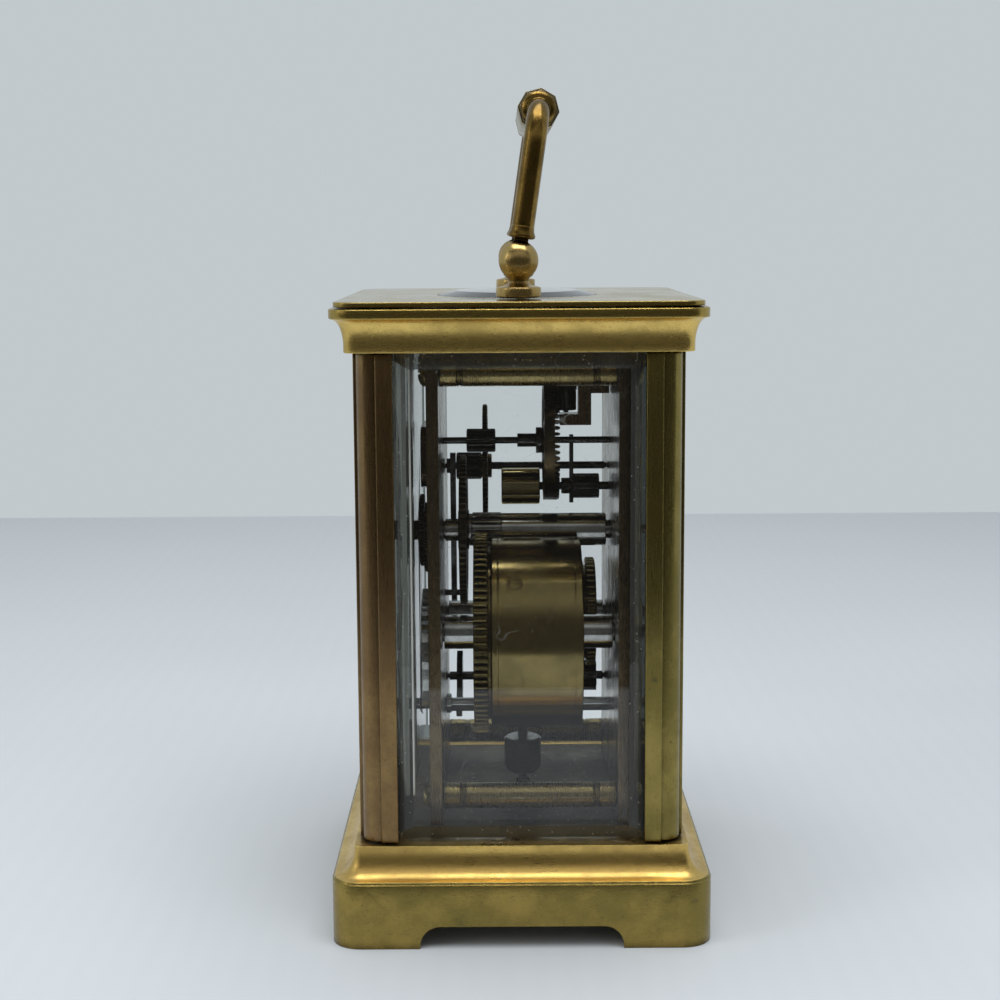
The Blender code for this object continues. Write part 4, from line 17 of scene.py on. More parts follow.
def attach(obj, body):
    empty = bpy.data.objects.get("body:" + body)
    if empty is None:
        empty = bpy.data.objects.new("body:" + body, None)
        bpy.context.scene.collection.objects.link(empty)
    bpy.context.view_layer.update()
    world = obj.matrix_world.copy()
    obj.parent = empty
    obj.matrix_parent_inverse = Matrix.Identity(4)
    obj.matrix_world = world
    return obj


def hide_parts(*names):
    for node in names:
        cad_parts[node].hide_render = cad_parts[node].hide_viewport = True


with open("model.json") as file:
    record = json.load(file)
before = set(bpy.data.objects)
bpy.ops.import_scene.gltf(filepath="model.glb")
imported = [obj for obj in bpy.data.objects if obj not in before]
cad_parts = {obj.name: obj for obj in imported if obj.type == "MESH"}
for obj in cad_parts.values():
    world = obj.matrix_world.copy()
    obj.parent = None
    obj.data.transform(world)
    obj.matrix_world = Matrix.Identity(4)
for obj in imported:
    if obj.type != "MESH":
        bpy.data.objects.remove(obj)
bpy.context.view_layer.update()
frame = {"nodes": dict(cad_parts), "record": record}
bpy.ops.object.select_all(action="DESELECT")
NODES = frame["nodes"]
MM = 0.001

# %% [markdown]
# ## The camera
# The photograph looks square on at the clock's right side, from a little above its middle.
# A lens a little longer than normal keeps the base and the cornice almost in proportion, and the
# small roll is that of a camera held by hand.

# %% The camera
CAMERA_PLACE = (353.05 * MM, -3.5 * MM, 126.4 * MM)
PITCH = math.radians(8.3)
ROLL = math.radians(-0.35)
camera_data = bpy.data.cameras.new("camera")
camera_data.sensor_width = 36
camera_data.lens = 65.9
camera_data.clip_start = 0.01
camera = bpy.data.objects.new("camera", camera_data)
bpy.context.scene.collection.objects.link(camera)
look = Matrix.Rotation(math.pi / 2, 4, "Z") @ Matrix.Rotation(math.pi / 2 - PITCH, 4, "X")
camera.matrix_world = Matrix.Translation(CAMERA_PLACE) @ look @ Matrix.Rotation(ROLL, 4, "Z")
bpy.context.scene.camera = camera
bpy.context.scene.view_settings.view_transform = "Standard"
print("camera at", tuple(round(v, 4) for v in CAMERA_PLACE))

# %% [markdown]
# ## Nodes by name
# A material is a small machine of nodes. These helpers add one node each and set its sockets and
# settings together, so a finish below reads as a list of what it is made of.


# %% Helpers for nodes
def add_node(tree, kind, sockets=None, **settings):
    """Adds a shader node; sockets is {input name or number: value or another node's output}."""
    made = tree.nodes.new("ShaderNode" + kind)
    for key, value in settings.items():
        setattr(made, key, value)
    for key, value in (sockets or {}).items():
        if isinstance(value, bpy.types.NodeSocket):
            tree.links.new(value, made.inputs[key])
        else:
            made.inputs[key].default_value = value
    return made


def maths(operation, first, second=0.5, third=0.5, clamp=False):
    """The output of a Math node, in the tree that its linked value belongs to."""
    linked = first if isinstance(first, bpy.types.NodeSocket) else second
    return add_node(linked.id_data, "Math", {0: first, 1: second, 2: third},
                    operation=operation, use_clamp=clamp).outputs[0]


def times(first, second, clamp=False):
    return maths("MULTIPLY", first, second, clamp=clamp)


def plus(first, second, clamp=False):
    return maths("ADD", first, second, clamp=clamp)


def minus(first, second):
    return maths("SUBTRACT", first, second)


def mix_colours(factor, first, second):
    """The output of a colour Mix node."""
    return add_node(factor.id_data, "Mix", {0: factor, 6: first, 7: second}, data_type="RGBA").outputs[2]


def mix_shaders(factor, first, second):
    """A Mix Shader node between two shader nodes."""
    return add_node(factor.id_data, "MixShader", {0: factor, 1: first.outputs[0], 2: second.outputs[0]})


def ramp(value, low, high):
    """Stretches a value so that low gives 0 and high gives 1."""
    return add_node(value.id_data, "MapRange", {0: value, 1: low, 2: high},
                    interpolation_type="SMOOTHSTEP").outputs[0]


def object_place(tree):
    return add_node(tree, "TexCoord").outputs["Object"]


def noise(place, scale, detail=3, rough=0.55, seed=0):
    """The value of a Noise node at the given place."""
    return add_node(place.id_data, "TexNoise", {"Vector": place, "W": seed, "Scale": scale,
                                                "Detail": detail, "Roughness": rough},
                    noise_dimensions="4D").outputs[0]


def give(out, **results):
    """Links each result to the input of that name."""
    for name, result in results.items():
        result.id_data.links.new(result, out[name])


def new_material(name):
    """An empty material: itself, its tree and the inputs of its output node."""
    made = bpy.data.materials.new(name)
    made.use_nodes = True
    made.node_tree.nodes.clear()
    return made, made.node_tree, made.node_tree.nodes.new("ShaderNodeOutputMaterial").inputs


def rgb(*values):
    return (*values, 1)


# %% [markdown]
# ## Shared effects
# Old brass shows three things that more than one finish needs: a patchy tarnish, edges rubbed
# bright, and fine lines from polishing. Each is a node group, built once and placed in every
# material that needs it with its own values.

# %% A new group with named sockets
FLOAT, COLOUR, VECTOR = "NodeSocketFloat", "NodeSocketColor", "NodeSocketVector"


def new_group(name, inputs, outputs):
    """A shader node group; inputs are (name, socket kind, value), outputs are (name, socket kind)."""
    group = bpy.data.node_groups.new(name, "ShaderNodeTree")
    for title, kind, value in inputs:
        group.interface.new_socket(title, in_out="INPUT", socket_type=kind).default_value = value
    for title, kind in outputs:
        group.interface.new_socket(title, in_out="OUTPUT", socket_type=kind)
    return group, group.nodes.new("NodeGroupInput").outputs, group.nodes.new("NodeGroupOutput").inputs


# %% The group for tarnish
# Large soft patches pull the colour between bright and dull, smaller ones stain it, and a fine
# speckle of pits stays dark. All of it is measured in metres, so it is the same on every piece.
tarnish, given, out = new_group("tarnish", [
    ("Bright", COLOUR, rgb(0.42, 0.29, 0.10)), ("Dull", COLOUR, rgb(0.20, 0.14, 0.05)),
    ("Stain", COLOUR, rgb(0.09, 0.06, 0.03)), ("Dull Share", FLOAT, 0.5), ("Stain Share", FLOAT, 0.3),
    ("Patch Scale", FLOAT, 90), ("Seed", FLOAT, 0), ("Roughness Low", FLOAT, 0.24),
    ("Roughness High", FLOAT, 0.5)],
    [("Colour", COLOUR), ("Roughness", FLOAT), ("Height", FLOAT)])
place, scale, seed = object_place(tarnish), given["Patch Scale"], given["Seed"]
patches = noise(place, scale, 4, 0.6, seed)
clouds = noise(place, times(scale, 4.7), 5, 0.65, seed)
pits = noise(place, times(scale, 34), 2, 0.6, seed)
dull_edge = minus(0.72, times(given["Dull Share"], 0.45))
dullness = ramp(plus(times(patches, 0.7), times(clouds, 0.3)), minus(dull_edge, 0.13),
                plus(dull_edge, 0.10))
stain_edge = minus(0.80, times(given["Stain Share"], 0.42))
stains = ramp(plus(times(clouds, 0.75), times(patches, 0.25)), minus(stain_edge, 0.08),
              plus(stain_edge, 0.07))
speckle = ramp(pits, 0.60, 0.72)
toned = mix_colours(stains, mix_colours(dullness, given["Bright"], given["Dull"]), given["Stain"])
toned = mix_colours(times(speckle, 0.45), toned, given["Stain"])
worn = maths("MAXIMUM", times(dullness, 0.7), stains)
worn = plus(times(worn, 0.8), times(clouds, 0.2), True)
spread = minus(given["Roughness High"], given["Roughness Low"])
give(out, Colour=toned, Roughness=maths("MULTIPLY_ADD", worn, spread, given["Roughness Low"]),
     Height=minus(1, times(speckle, 0.8)))
print("group:", tarnish.name, len(tarnish.nodes), "nodes")

# %% The group for rubbed edges
# A Bevel node rounds the shading of an edge without touching the mesh. Where its normal leaves the
# real one there is an edge, and there the brass is rubbed bright. Corners that face inward are
# painted dark by an ambient occlusion mask: painted shade, with the old polish and soil that stay there.
edges, given, out = new_group("rubbed edges", [
    ("Colour", COLOUR, rgb(0.4, 0.3, 0.1)), ("Rubbed", COLOUR, rgb(0.62, 0.45, 0.17)),
    ("Grime And Shade", COLOUR, rgb(0.03, 0.022, 0.012)), ("Radius", FLOAT, 0.0003), ("Rubbing", FLOAT, 0.6),
    ("Grime And Shade Share", FLOAT, 0.7), ("Reach", FLOAT, 0.0016)],
    [("Colour", COLOUR), ("Normal", VECTOR), ("Edge", FLOAT)])
real = add_node(edges, "NewGeometry").outputs["Normal"]
rounded = add_node(edges, "Bevel", {"Radius": given["Radius"]}, samples=4).outputs[0]
turn = add_node(edges, "VectorMath", {0: real, 1: rounded}, operation="DOT_PRODUCT").outputs["Value"]
chatter = noise(object_place(edges), 700, 3, 0.6)
outside = add_node(edges, "AmbientOcclusion", {"Distance": given["Reach"]}, samples=4).outputs["AO"]
nook = ramp(outside, 0.95, 0.45)
rub = times(ramp(minus(1, turn), 0.01, 0.12), ramp(chatter, 0.30, 0.62))
rub = times(times(rub, given["Rubbing"]), minus(1, nook), True)
# The occluded corners get painted shade here, together with old polish and soil.
dirt_and_shade = times(times(nook, given["Grime And Shade Share"]), ramp(chatter, 0.15, 0.55), True)
edged = mix_colours(dirt_and_shade, mix_colours(rub, given["Colour"], given["Rubbed"]), given["Grime And Shade"])
give(out, Colour=edged, Normal=rounded, Edge=rub)
print("group:", edges.name, len(edges.nodes), "nodes")

# %% The group for polishing lines
# Fine lines run along the way a piece was rubbed or turned. Stretching the noise in one direction
# is enough: the Grain vector says how tightly it is packed along x, y and z.
lines, given, out = new_group("polishing lines", [("Grain", VECTOR, (9000, 400, 9000)), ("Seed", FLOAT, 0)],
                              [("Height", FLOAT), ("Shade", FLOAT)])
packed = add_node(lines, "VectorMath", {0: object_place(lines), 1: given["Grain"]}, operation="MULTIPLY")
fine = noise(packed.outputs[0], 1, 4, 0.65, given["Seed"])
give(out, Height=fine, Shade=ramp(fine, 0.35, 0.65))
print("group:", lines.name, len(lines.nodes), "nodes")

# %% The group for dust and scratches
# Handled glass and metal carry specks of dust and a few hair scratches. The specks are the cores
# of Voronoi cells, and the scratches are the thin contour lines of a stretched noise.
dust, given, out = new_group("dust and scratches", [
    ("Scale", FLOAT, 700), ("Speck Share", FLOAT, 0.3), ("Scratch Share", FLOAT, 0.3), ("Seed", FLOAT, 0)],
    [("Specks", FLOAT), ("Scratches", FLOAT)])
place, seed = object_place(dust), given["Seed"]
cells = add_node(dust, "TexVoronoi", {"Vector": place, "Scale": given["Scale"], "Randomness": 1})
few = noise(place, times(given["Scale"], 0.09), 4, 0.6, seed)
lonely = ramp(few, 0.62, minus(0.70, times(given["Speck Share"], 0.2)))
stretched = add_node(dust, "Mapping", {"Vector": place, "Rotation": (0.5, 0.9, 0.3),
                                       "Scale": (420, 60, 90)})
contour = maths("ABSOLUTE", minus(noise(stretched.outputs[0], 1, 2, 0.4, seed), 0.5))
sparse = ramp(noise(place, 60, 2, 0.5, seed), 0.58, 0.66)
give(out, Specks=times(ramp(cells.outputs["Distance"], 0.16, 0.05), lonely),
     Scratches=times(times(ramp(contour, 0.004, 0), sparse), given["Scratch Share"], True))
print("group:", dust.name, len(dust.nodes), "nodes")

# %% [markdown]
# ## Brass and steel
# One recipe makes every brass and steel finish of the clock. A finish is its three colours, its
# roughness and the direction of its polishing lines. The case is old brass: golden where hands
# rub it, olive and brown elsewhere. The movement's brass is given much darker colours.

# %% The recipe for metal
SPECK_COLOUR = rgb(0.42, 0.38, 0.30)


def metal(name, bright, dull, stain, shares=(0.5, 0.3), scale=90, roughness=(0.24, 0.5), rubbed=None,
          rubbing=0.6, grime_and_shade=0.7, grain=(9000, 700, 9000), grain_depth=0.25, radius=0.25, seed=0,
          relief=0.35, specks=0.4):
    """A worn metal. Colours are linear; radius is the rounding of edges in millimetres."""
    made, tree, out = new_material(name)
    rub = rgb(*(rubbed or (min(1, 1.6 * v) for v in bright)))
    aged = add_node(tree, "Group", {
        "Bright": rgb(*bright), "Dull": rgb(*dull), "Stain": rgb(*stain), "Dull Share": shares[0],
        "Stain Share": shares[1], "Patch Scale": scale, "Seed": seed, "Roughness Low": roughness[0],
        "Roughness High": roughness[1]}, node_tree=tarnish).outputs
    # The rubbed edges also paint shade into the inward corners.
    worn_edges = add_node(tree, "Group", {
        "Colour": aged["Colour"], "Rubbed": rub, "Radius": radius * MM, "Rubbing": rubbing,
        "Grime And Shade Share": grime_and_shade}, node_tree=edges).outputs
    polish = add_node(tree, "Group", {"Grain": grain, "Seed": seed}, node_tree=lines).outputs
    handled = add_node(tree, "Group", {"Scale": 650, "Seed": seed + 3, "Speck Share": specks,
                                       "Scratch Share": 0.5}, node_tree=dust).outputs
    colour = mix_colours(times(handled["Specks"], 1.25 * specks * specks + 0.2 * specks),
                         worn_edges["Colour"], SPECK_COLOUR)
    colour = mix_colours(times(handled["Scratches"], 0.5), colour, rub)
    shine = plus(minus(aged["Roughness"], times(worn_edges["Edge"], 0.12)),
                 times(minus(polish["Shade"], 0.5), 0.10), True)
    height = plus(aged["Height"], times(polish["Height"], grain_depth))
    bump = add_node(tree, "Bump", {"Strength": relief, "Distance": 0.00004, "Height": height,
                                   "Normal": worn_edges["Normal"]})
    shader = add_node(tree, "BsdfPrincipled", {"Base Color": colour, "Metallic": 1, "Roughness": shine,
                                               "IOR": 1.5, "Normal": bump.outputs[0]})
    give(out, Surface=shader.outputs[0])
    return made


# %% The brass of the case
base_brass = metal("base_brass", (0.38, 0.27, 0.075), (0.24, 0.185, 0.053), (0.105, 0.09, 0.045),
                   (0.5, 0.32), 55, (0.18, 0.36), rubbing=0.75, grain=(500, 500, 9000), seed=1)
lip_brass = metal("lip_brass", (0.50, 0.355, 0.095), (0.34, 0.25, 0.07), (0.14, 0.11, 0.05), scale=70,
                  roughness=(0.17, 0.36), rubbing=0.75, grain=(500, 500, 9000), seed=1)
cornice_brass = metal("cornice_brass", (0.78, 0.55, 0.165), (0.53, 0.375, 0.11), (0.15, 0.11, 0.04),
                      (0.45, 0.28), 75, (0.22, 0.42), grain=(500, 500, 9000), seed=2)
# The sweep's brass is a brighter copy of the case brass: a painted highlight on the hollow sweep.
sweep_brass_painted_bright = metal("sweep_brass_painted_bright", (0.76, 0.52, 0.155), (0.54, 0.365, 0.11), (0.20, 0.14, 0.055),
                    (0.5, 0.32), 70, (0.26, 0.44), rubbing=0.75, grain=(500, 500, 9000), seed=1)
front_pillar_brass = metal("front_pillar_brass", (0.29, 0.19, 0.08), (0.20, 0.125, 0.058),
                           (0.095, 0.062, 0.037), (0.55, 0.30), 60, (0.20, 0.36), grain=(9000, 9000, 350),
                           seed=4)
rear_pillar_brass = metal("rear_pillar_brass", (0.31, 0.24, 0.075), (0.20, 0.16, 0.046),
                          (0.095, 0.088, 0.04), (0.5, 0.28), 60, (0.20, 0.36), grain=(9000, 9000, 350),
                          seed=5)
# The top plate's pale tone is brass together with painted reflection: the pale wall mirrored at a low
# angle.
plate_brass_with_painted_reflection = metal("top_plate_brass", (0.60, 0.50, 0.29), (0.46, 0.38, 0.22), (0.19, 0.15, 0.085),
                    (0.4, 0.25), 70, (0.13, 0.32), grain=(500, 9000, 9000), relief=0.2, seed=6)
door_brass = metal("door_brass", (0.42, 0.31, 0.105), (0.29, 0.22, 0.08), (0.13, 0.105, 0.05), scale=70,
                   roughness=(0.20, 0.38), grain=(500, 9000, 9000), seed=7)
handle_brass = metal("handle_brass", (0.33, 0.205, 0.052), (0.165, 0.102, 0.026), (0.07, 0.042, 0.013),
                     (0.55, 0.35), 130, (0.13, 0.28), grain=(3000, 3000, 3000), rubbing=0.8, relief=0.2,
                     seed=8)
grip_brass = metal("grip_brass", (0.40, 0.32, 0.17), (0.26, 0.21, 0.12), (0.10, 0.08, 0.05), scale=150,
                   roughness=(0.20, 0.36), grain=(900, 6000, 6000), relief=0.12, radius=0.1, seed=20)
post_brass = metal("post_brass", (0.56, 0.395, 0.15), (0.38, 0.265, 0.10), (0.14, 0.095, 0.04), scale=150,
                   roughness=(0.17, 0.33), grain=(3000, 3000, 3000), relief=0.08, seed=18)

# %% The brass and steel of the movement
movement_brass = metal("movement_brass", (0.30, 0.22, 0.085), (0.18, 0.135, 0.055), (0.07, 0.055, 0.03),
                       (0.45, 0.3), 140, (0.20, 0.38), relief=0.2, radius=0.1, seed=9)
plates_brass = metal("plates_brass", (0.16, 0.115, 0.06), (0.10, 0.072, 0.042), (0.05, 0.037, 0.025),
                     roughness=(0.18, 0.36), grain=(9000, 9000, 500), relief=0.2, seed=10)
drum_brass = metal("drum_brass", (0.27, 0.21, 0.085), (0.19, 0.15, 0.065), (0.10, 0.08, 0.042),
                   (0.45, 0.25), 110, (0.13, 0.26), grain=(600, 9000, 600), grain_depth=0.12, relief=0.10,
                   specks=0.15, seed=11)
wheel_brass = metal("wheel_brass", (0.13, 0.095, 0.048), (0.075, 0.056, 0.032), (0.038, 0.03, 0.02),
                    (0.55, 0.4), 160, (0.24, 0.44), grain=(4000, 700, 4000), relief=0.2, radius=0.08,
                    seed=12)
pillar_rod_brass = metal("pillar_rod_brass", (0.34, 0.27, 0.115), (0.23, 0.18, 0.08), (0.11, 0.085, 0.042),
                         scale=140, roughness=(0.20, 0.36), grain=(700, 9000, 700), grain_depth=0.12,
                         relief=0.06, specks=0.2, seed=13)
steel = metal("polished_steel", (0.50, 0.51, 0.50), (0.36, 0.355, 0.34), (0.16, 0.125, 0.10), (0.4, 0.2),
              220, (0.10, 0.24), (0.7, 0.7, 0.7), grime_and_shade=0.6, grain=(600, 9000, 600), grain_depth=0.1,
              relief=0.08, radius=0.08, specks=0.15, seed=14)
dark_steel = metal("dark_steel", (0.10, 0.10, 0.10), (0.06, 0.058, 0.055), (0.05, 0.035, 0.025), scale=220,
                   roughness=(0.14, 0.30), rubbed=(0.35, 0.35, 0.35), relief=0.1, radius=0.08, specks=0.15,
                   seed=15)
blued_steel = metal("blued_steel", (0.020, 0.035, 0.13), (0.012, 0.018, 0.07), (0.03, 0.02, 0.03),
                    (0.4, 0.2), 260, (0.14, 0.26), (0.10, 0.13, 0.30), 0.5, relief=0.1, seed=16)
bell_metal = metal("bell_metal", (0.34, 0.29, 0.17), (0.22, 0.185, 0.105), (0.11, 0.09, 0.055), scale=110,
                   roughness=(0.16, 0.32), grain=(6000, 6000, 6000), relief=0.2, seed=17)
# The case floor is painted very dark: its tarnish and dust, and painted shade of the closed case above it.
floor_brass_with_painted_shade = metal("floor_brass_with_painted_shade", (0.10, 0.08, 0.045), (0.06, 0.048, 0.03), (0.03, 0.024, 0.017),
                    (0.6, 0.45), 60, (0.38, 0.62), grain=(6000, 600, 6000), specks=0.9, seed=19)
sleeve_brass = metal("sleeve_brass", (0.33, 0.275, 0.14), (0.23, 0.19, 0.10), (0.11, 0.09, 0.055),
                     (0.3, 0.15), 150, (0.06, 0.14), grain=(900, 9000, 900), grain_depth=0.1, relief=0.06,
                     specks=0.1, seed=24)
back_brass = metal("back_brass", (0.42, 0.32, 0.13), (0.34, 0.26, 0.105), (0.22, 0.165, 0.075),
                   (0.4, 0.18), 60, (0.20, 0.34), grain=(9000, 9000, 250), relief=0.08, radius=0.1,
                   seed=25)
print("metals:", sum(1 for m in bpy.data.materials if m.name.endswith(("brass", "steel", "metal"))))

# %% [markdown]
# ## Glass
# The panes are thick plate glass with a wide polished bevel all round, so each pane is a closed
# solid and the light bends in it as it does in the real one. Lamps pass straight through, or the
# case would be black inside. Dust and faint smears keep the panes from looking empty.


# %% The glass of the panes
def glass(name, tint, specks, scratches, seed, haze=0):
    """A clear glass that lets lamps through; haze is the least share of film on it."""
    made, tree, out = new_material(name)
    handled = add_node(tree, "Group", {"Scale": 900, "Speck Share": specks, "Scratch Share": scratches,
                                       "Seed": seed}, node_tree=dust).outputs
    smears = ramp(noise(object_place(tree), 120, 3, 0.6, seed), 0.45, 0.75)
    body = add_node(tree, "BsdfPrincipled", {"Base Color": rgb(*tint), "Metallic": 0,
                                             "Roughness": times(smears, 0.03), "IOR": 1.40,
                                             "Transmission Weight": 1})
    film = add_node(tree, "BsdfPrincipled", {"Roughness": 0.9, "Base Color": rgb(0.6, 0.6, 0.57)})
    shown = plus(times(handled["Specks"], 0.55), times(handled["Scratches"], 0.30), True)
    if haze:
        shown = maths("MAXIMUM", shown, maths("MULTIPLY_ADD", smears, 0.5 * haze, haze))
    path = add_node(tree, "LightPath").outputs
    clear = add_node(tree, "BsdfTransparent", {"Color": rgb(0.93, 0.95, 0.94)})
    passed = maths("MAXIMUM", path["Is Shadow Ray"], path["Is Diffuse Ray"])
    give(out, Surface=mix_shaders(passed, mix_shaders(shown, body, film), clear).outputs[0])
    return made


pane_glass = glass("pane_glass", (0.99, 1, 0.995), 0.12, 0.6, 21)
far_glass = glass("far_glass", (0.99, 1, 0.995), 0.2, 0.2, 22)
# The bevels' glass is tinted dark: painted shade for the dark case seen through the slopes.
bevel_glass_painted_dark = glass("bevel_glass_painted_dark", (0.05, 0.058, 0.053), 0.5, 0.8, 23, 0.055)
print("glass:", pane_glass.name, far_glass.name, bevel_glass_painted_dark.name)

# %% [markdown]
# ## Enamel
# The dial is white enamel fired on copper: a hard, slightly wavy white with a few grey hairs in it.
# A coat over a soft white gives the depth of the glaze, and a bump of slow noise gives its waves.

# %% The enamel of the dial
enamel, tree, out = new_material("white_enamel")
place = object_place(tree)
waves = noise(place, 160, 2, 0.5, 31)
crazing = add_node(tree, "TexVoronoi", {"Vector": place, "Scale": 130}, feature="DISTANCE_TO_EDGE")
hairs = times(ramp(crazing.outputs["Distance"], 0.010, 0), ramp(noise(place, 45, 2, 0.5, 32), 0.55, 0.62))
colour = mix_colours(ramp(waves, 0.3, 0.7), rgb(0.84, 0.82, 0.765), rgb(0.90, 0.885, 0.845))
colour = mix_colours(times(hairs, 0.5), colour, rgb(0.35, 0.32, 0.27))
bump = add_node(tree, "Bump", {"Strength": 0.25, "Distance": 0.0002, "Height": waves})
shader = add_node(tree, "BsdfPrincipled", {
    "Base Color": colour, "Roughness": maths("MULTIPLY_ADD", waves, 0.12, 0.12), "Coat Weight": 0.6,
    "Coat Roughness": 0.05, "Normal": bump.outputs[0]})
give(out, Surface=shader.outputs[0])
print("enamel:", enamel.name)

# %% [markdown]
# ## A finish for every solid
# Each solid that keeps its shape gets its finish in the slot it came with. Nothing else about it
# changes.

# %% Give the solids their finishes
FINISHES = {
    base_brass: "base_moulding",
    floor_brass_with_painted_shade: "case_floor",
    cornice_brass: "cornice",
    plate_brass_with_painted_reflection: "top_plate",
    front_pillar_brass: "pillar_front_right pillar_front_left",
    rear_pillar_brass: "pillar_rear_right pillar_rear_left",
    door_brass: "door_frame door_knob",
    post_brass: "handle_post_left handle_post_right",
    handle_brass: "handle_arm_left handle_arm_right handle_grip",
    plates_brass: "front_plate back_plate platform balance_cock potence front_cock",
    drum_brass: "going_barrel alarm_barrel",
    wheel_brass: "centre_wheel third_wheel contrate_wheel hour_wheel minute_wheel escape_wheel",
    movement_brass: "balance_wheel",
    pillar_rod_brass: "movement_pillar_top_left movement_pillar_top_right movement_pillar_bottom_left "
                      "movement_pillar_bottom_right",
    steel: "barrel_arbor centre_arbor ratchet_wheel click setting_arbor handle_pin_left "
           "handle_pin_right alarm_arbor",
    dark_steel: "third_arbor contrate_arbor alarm_hammer alarm_detent release_arbor alarm_ratchet_wheel "
                "alarm_setting_arbor",
    blued_steel: "balance_spring hour_hand minute_hand bell_screw",
    bell_metal: "bell",
    pane_glass: "right_glass top_glass front_glass door_glass",
    far_glass: "left_glass",
    enamel: "dial",
}
for finish, names in FINISHES.items():
    for name in names.split():
        for slot in NODES[name].material_slots:
            slot.material = finish
finished = set(" ".join(FINISHES.values()).split())
print("finished:", len(finished), "left:", sorted(set(NODES) - finished))

# %% [markdown]
# ## Tools of the bench
# The pieces below are modelled as by hand. A primitive is added at its size and place, shaped in
# edit mode by extrude, inset, bevel and spin, and closed up. These few tools say what is picked
# and where, and they keep every size in millimetres.

# %% One piece at a time
BODY_OF = {name: body for body, names in frame["record"]["behaviour"]["bodies"].items() for name in names}
SAME_PLACE = 0.002 * MM
QUARTER_TURN = math.pi / 2


def millimetres(*values):
    return tuple(v * MM for v in values)


def only(piece):
    """Selects one piece and makes it active."""
    bpy.ops.object.select_all(action="DESELECT")
    piece.select_set(True)
    bpy.context.view_layer.objects.active = piece


def fresh(add, **how):
    """Adds one primitive by its operator, and puts its place and size into the mesh."""
    bpy.ops.object.select_all(action="DESELECT")
    add(**how)
    bpy.ops.object.transform_apply()
    return bpy.context.object


# %% Choosing faces and working them
def select(action):
    bpy.ops.mesh.select_all(action=action)


def begin(piece, mode="FACE"):
    """Opens a piece in edit mode with nothing selected."""
    only(piece)
    bpy.ops.object.mode_set(mode="EDIT")
    bpy.ops.mesh.select_mode(type=mode)
    select("DESELECT")


def pick(kind, test, afresh=False):
    """Adds to the selection the faces, edges or verts for which the test is true."""
    if afresh:
        select("DESELECT")
    shape = bmesh.from_edit_mesh(bpy.context.object.data)
    shape.normal_update()
    for part in getattr(shape, kind):
        if test(part):
            part.select_set(True)
    shape.select_flush_mode()
    bmesh.update_edit_mesh(bpy.context.object.data)


def end():
    bpy.ops.object.mode_set(mode="OBJECT")
    return bpy.context.object


def inset(inward, outward=0):
    """Insets the picked faces, and moves them out."""
    bpy.ops.mesh.inset(thickness=inward * MM, depth=outward * MM)


def lift(distance):
    """Extrudes the picked faces straight up."""
    bpy.ops.mesh.extrude_region_move(TRANSFORM_OT_translate={"value": (0, 0, distance * MM)})


def draw_out(height):
    """Extrudes the picked faces along their normals."""
    bpy.ops.mesh.extrude_region_shrink_fatten(TRANSFORM_OT_shrink_fatten={"value": height * MM})


def taper(piece, facing, share):
    """Scales in z one end of a bar that lies along x; facing is 1 for its right end, -1 for its left."""
    begin(piece)
    pick("faces", lambda f: f.normal.x * facing > 0.9)
    bpy.ops.transform.resize(value=(1, 1, share))
    return end()


# %% Closing, placing and joining
def weld():
    """Merges the points of the open piece that lie in one place, turns its faces outward, closes it."""
    select("SELECT")
    bpy.ops.mesh.remove_doubles(threshold=SAME_PLACE)
    bpy.ops.mesh.normals_make_consistent(inside=False)
    return end()


def placed(parts, at, turn=0, axis="Y"):
    """Turns parts about an axis through the origin, then moves them to a place."""
    place = Matrix.Translation(millimetres(*at)) @ Matrix.Rotation(turn, 4, axis)
    for part in parts:
        part.matrix_world = place @ part.matrix_world
    return parts


def duplicate(piece):
    """A copy with its own mesh."""
    twin = piece.copy()
    twin.data = piece.data.copy()
    bpy.context.scene.collection.objects.link(twin)
    return twin


def complete(name, parts, finish, nodes, smooth=32, replaces=True):
    """Joins the parts, puts the place into the mesh, shades and finishes it, and gives it to its body."""
    only(parts[0])
    for part in parts:
        part.select_set(True)
    if len(parts) > 1:
        bpy.ops.object.join()
    piece = bpy.context.object
    bpy.ops.object.transform_apply()
    bpy.ops.object.shade_smooth_by_angle(angle=math.radians(smooth))
    piece.name = piece.data.name = name
    piece.data.materials.clear()
    piece.data.materials.append(finish)
    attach(piece, BODY_OF[nodes[0]])
    if replaces:
        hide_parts(*nodes)
    print(name, len(piece.data.polygons), "faces")
    return piece


def refinish(piece, finish, test):
    """Gives a second finish to the faces for which the test is true."""
    piece.data.materials.append(finish)
    for face in piece.data.polygons:
        if test(face):
            face.material_index = len(piece.data.materials) - 1


# %% Modifiers that are applied at once
def change(piece, kind, **settings):
    """Adds a modifier with its settings and applies it."""
    made = piece.modifiers.new(kind.lower(), kind)
    for key, value in settings.items():
        setattr(made, key, value)
    only(piece)
    bpy.ops.object.modifier_apply(modifier=made.name)
    return piece


def cut_away(piece, cutters):
    """Takes the cutters out of the piece."""
    for cutter in cutters:
        change(piece, "BOOLEAN", operation="DIFFERENCE", solver="EXACT", object=cutter)
        bpy.data.objects.remove(cutter)
    return piece


def soften(piece, width, segments=2, angle=40):
    """Breaks the sharp edges of a piece, as a file does."""
    return change(piece, "BEVEL", width=width * MM, segments=segments, limit_method="ANGLE",
                  angle_limit=math.radians(angle))


# %% Blocks, rods and mouldings
def rod(sides, radius, length, at, rotation=(0, 0, 0), scale=(1, 1, 1)):
    """A cylinder at its place, upright unless it is rotated."""
    return fresh(bpy.ops.mesh.primitive_cylinder_add, vertices=sides, radius=radius * MM, depth=length * MM,
                 location=millimetres(*at), rotation=rotation, scale=scale)


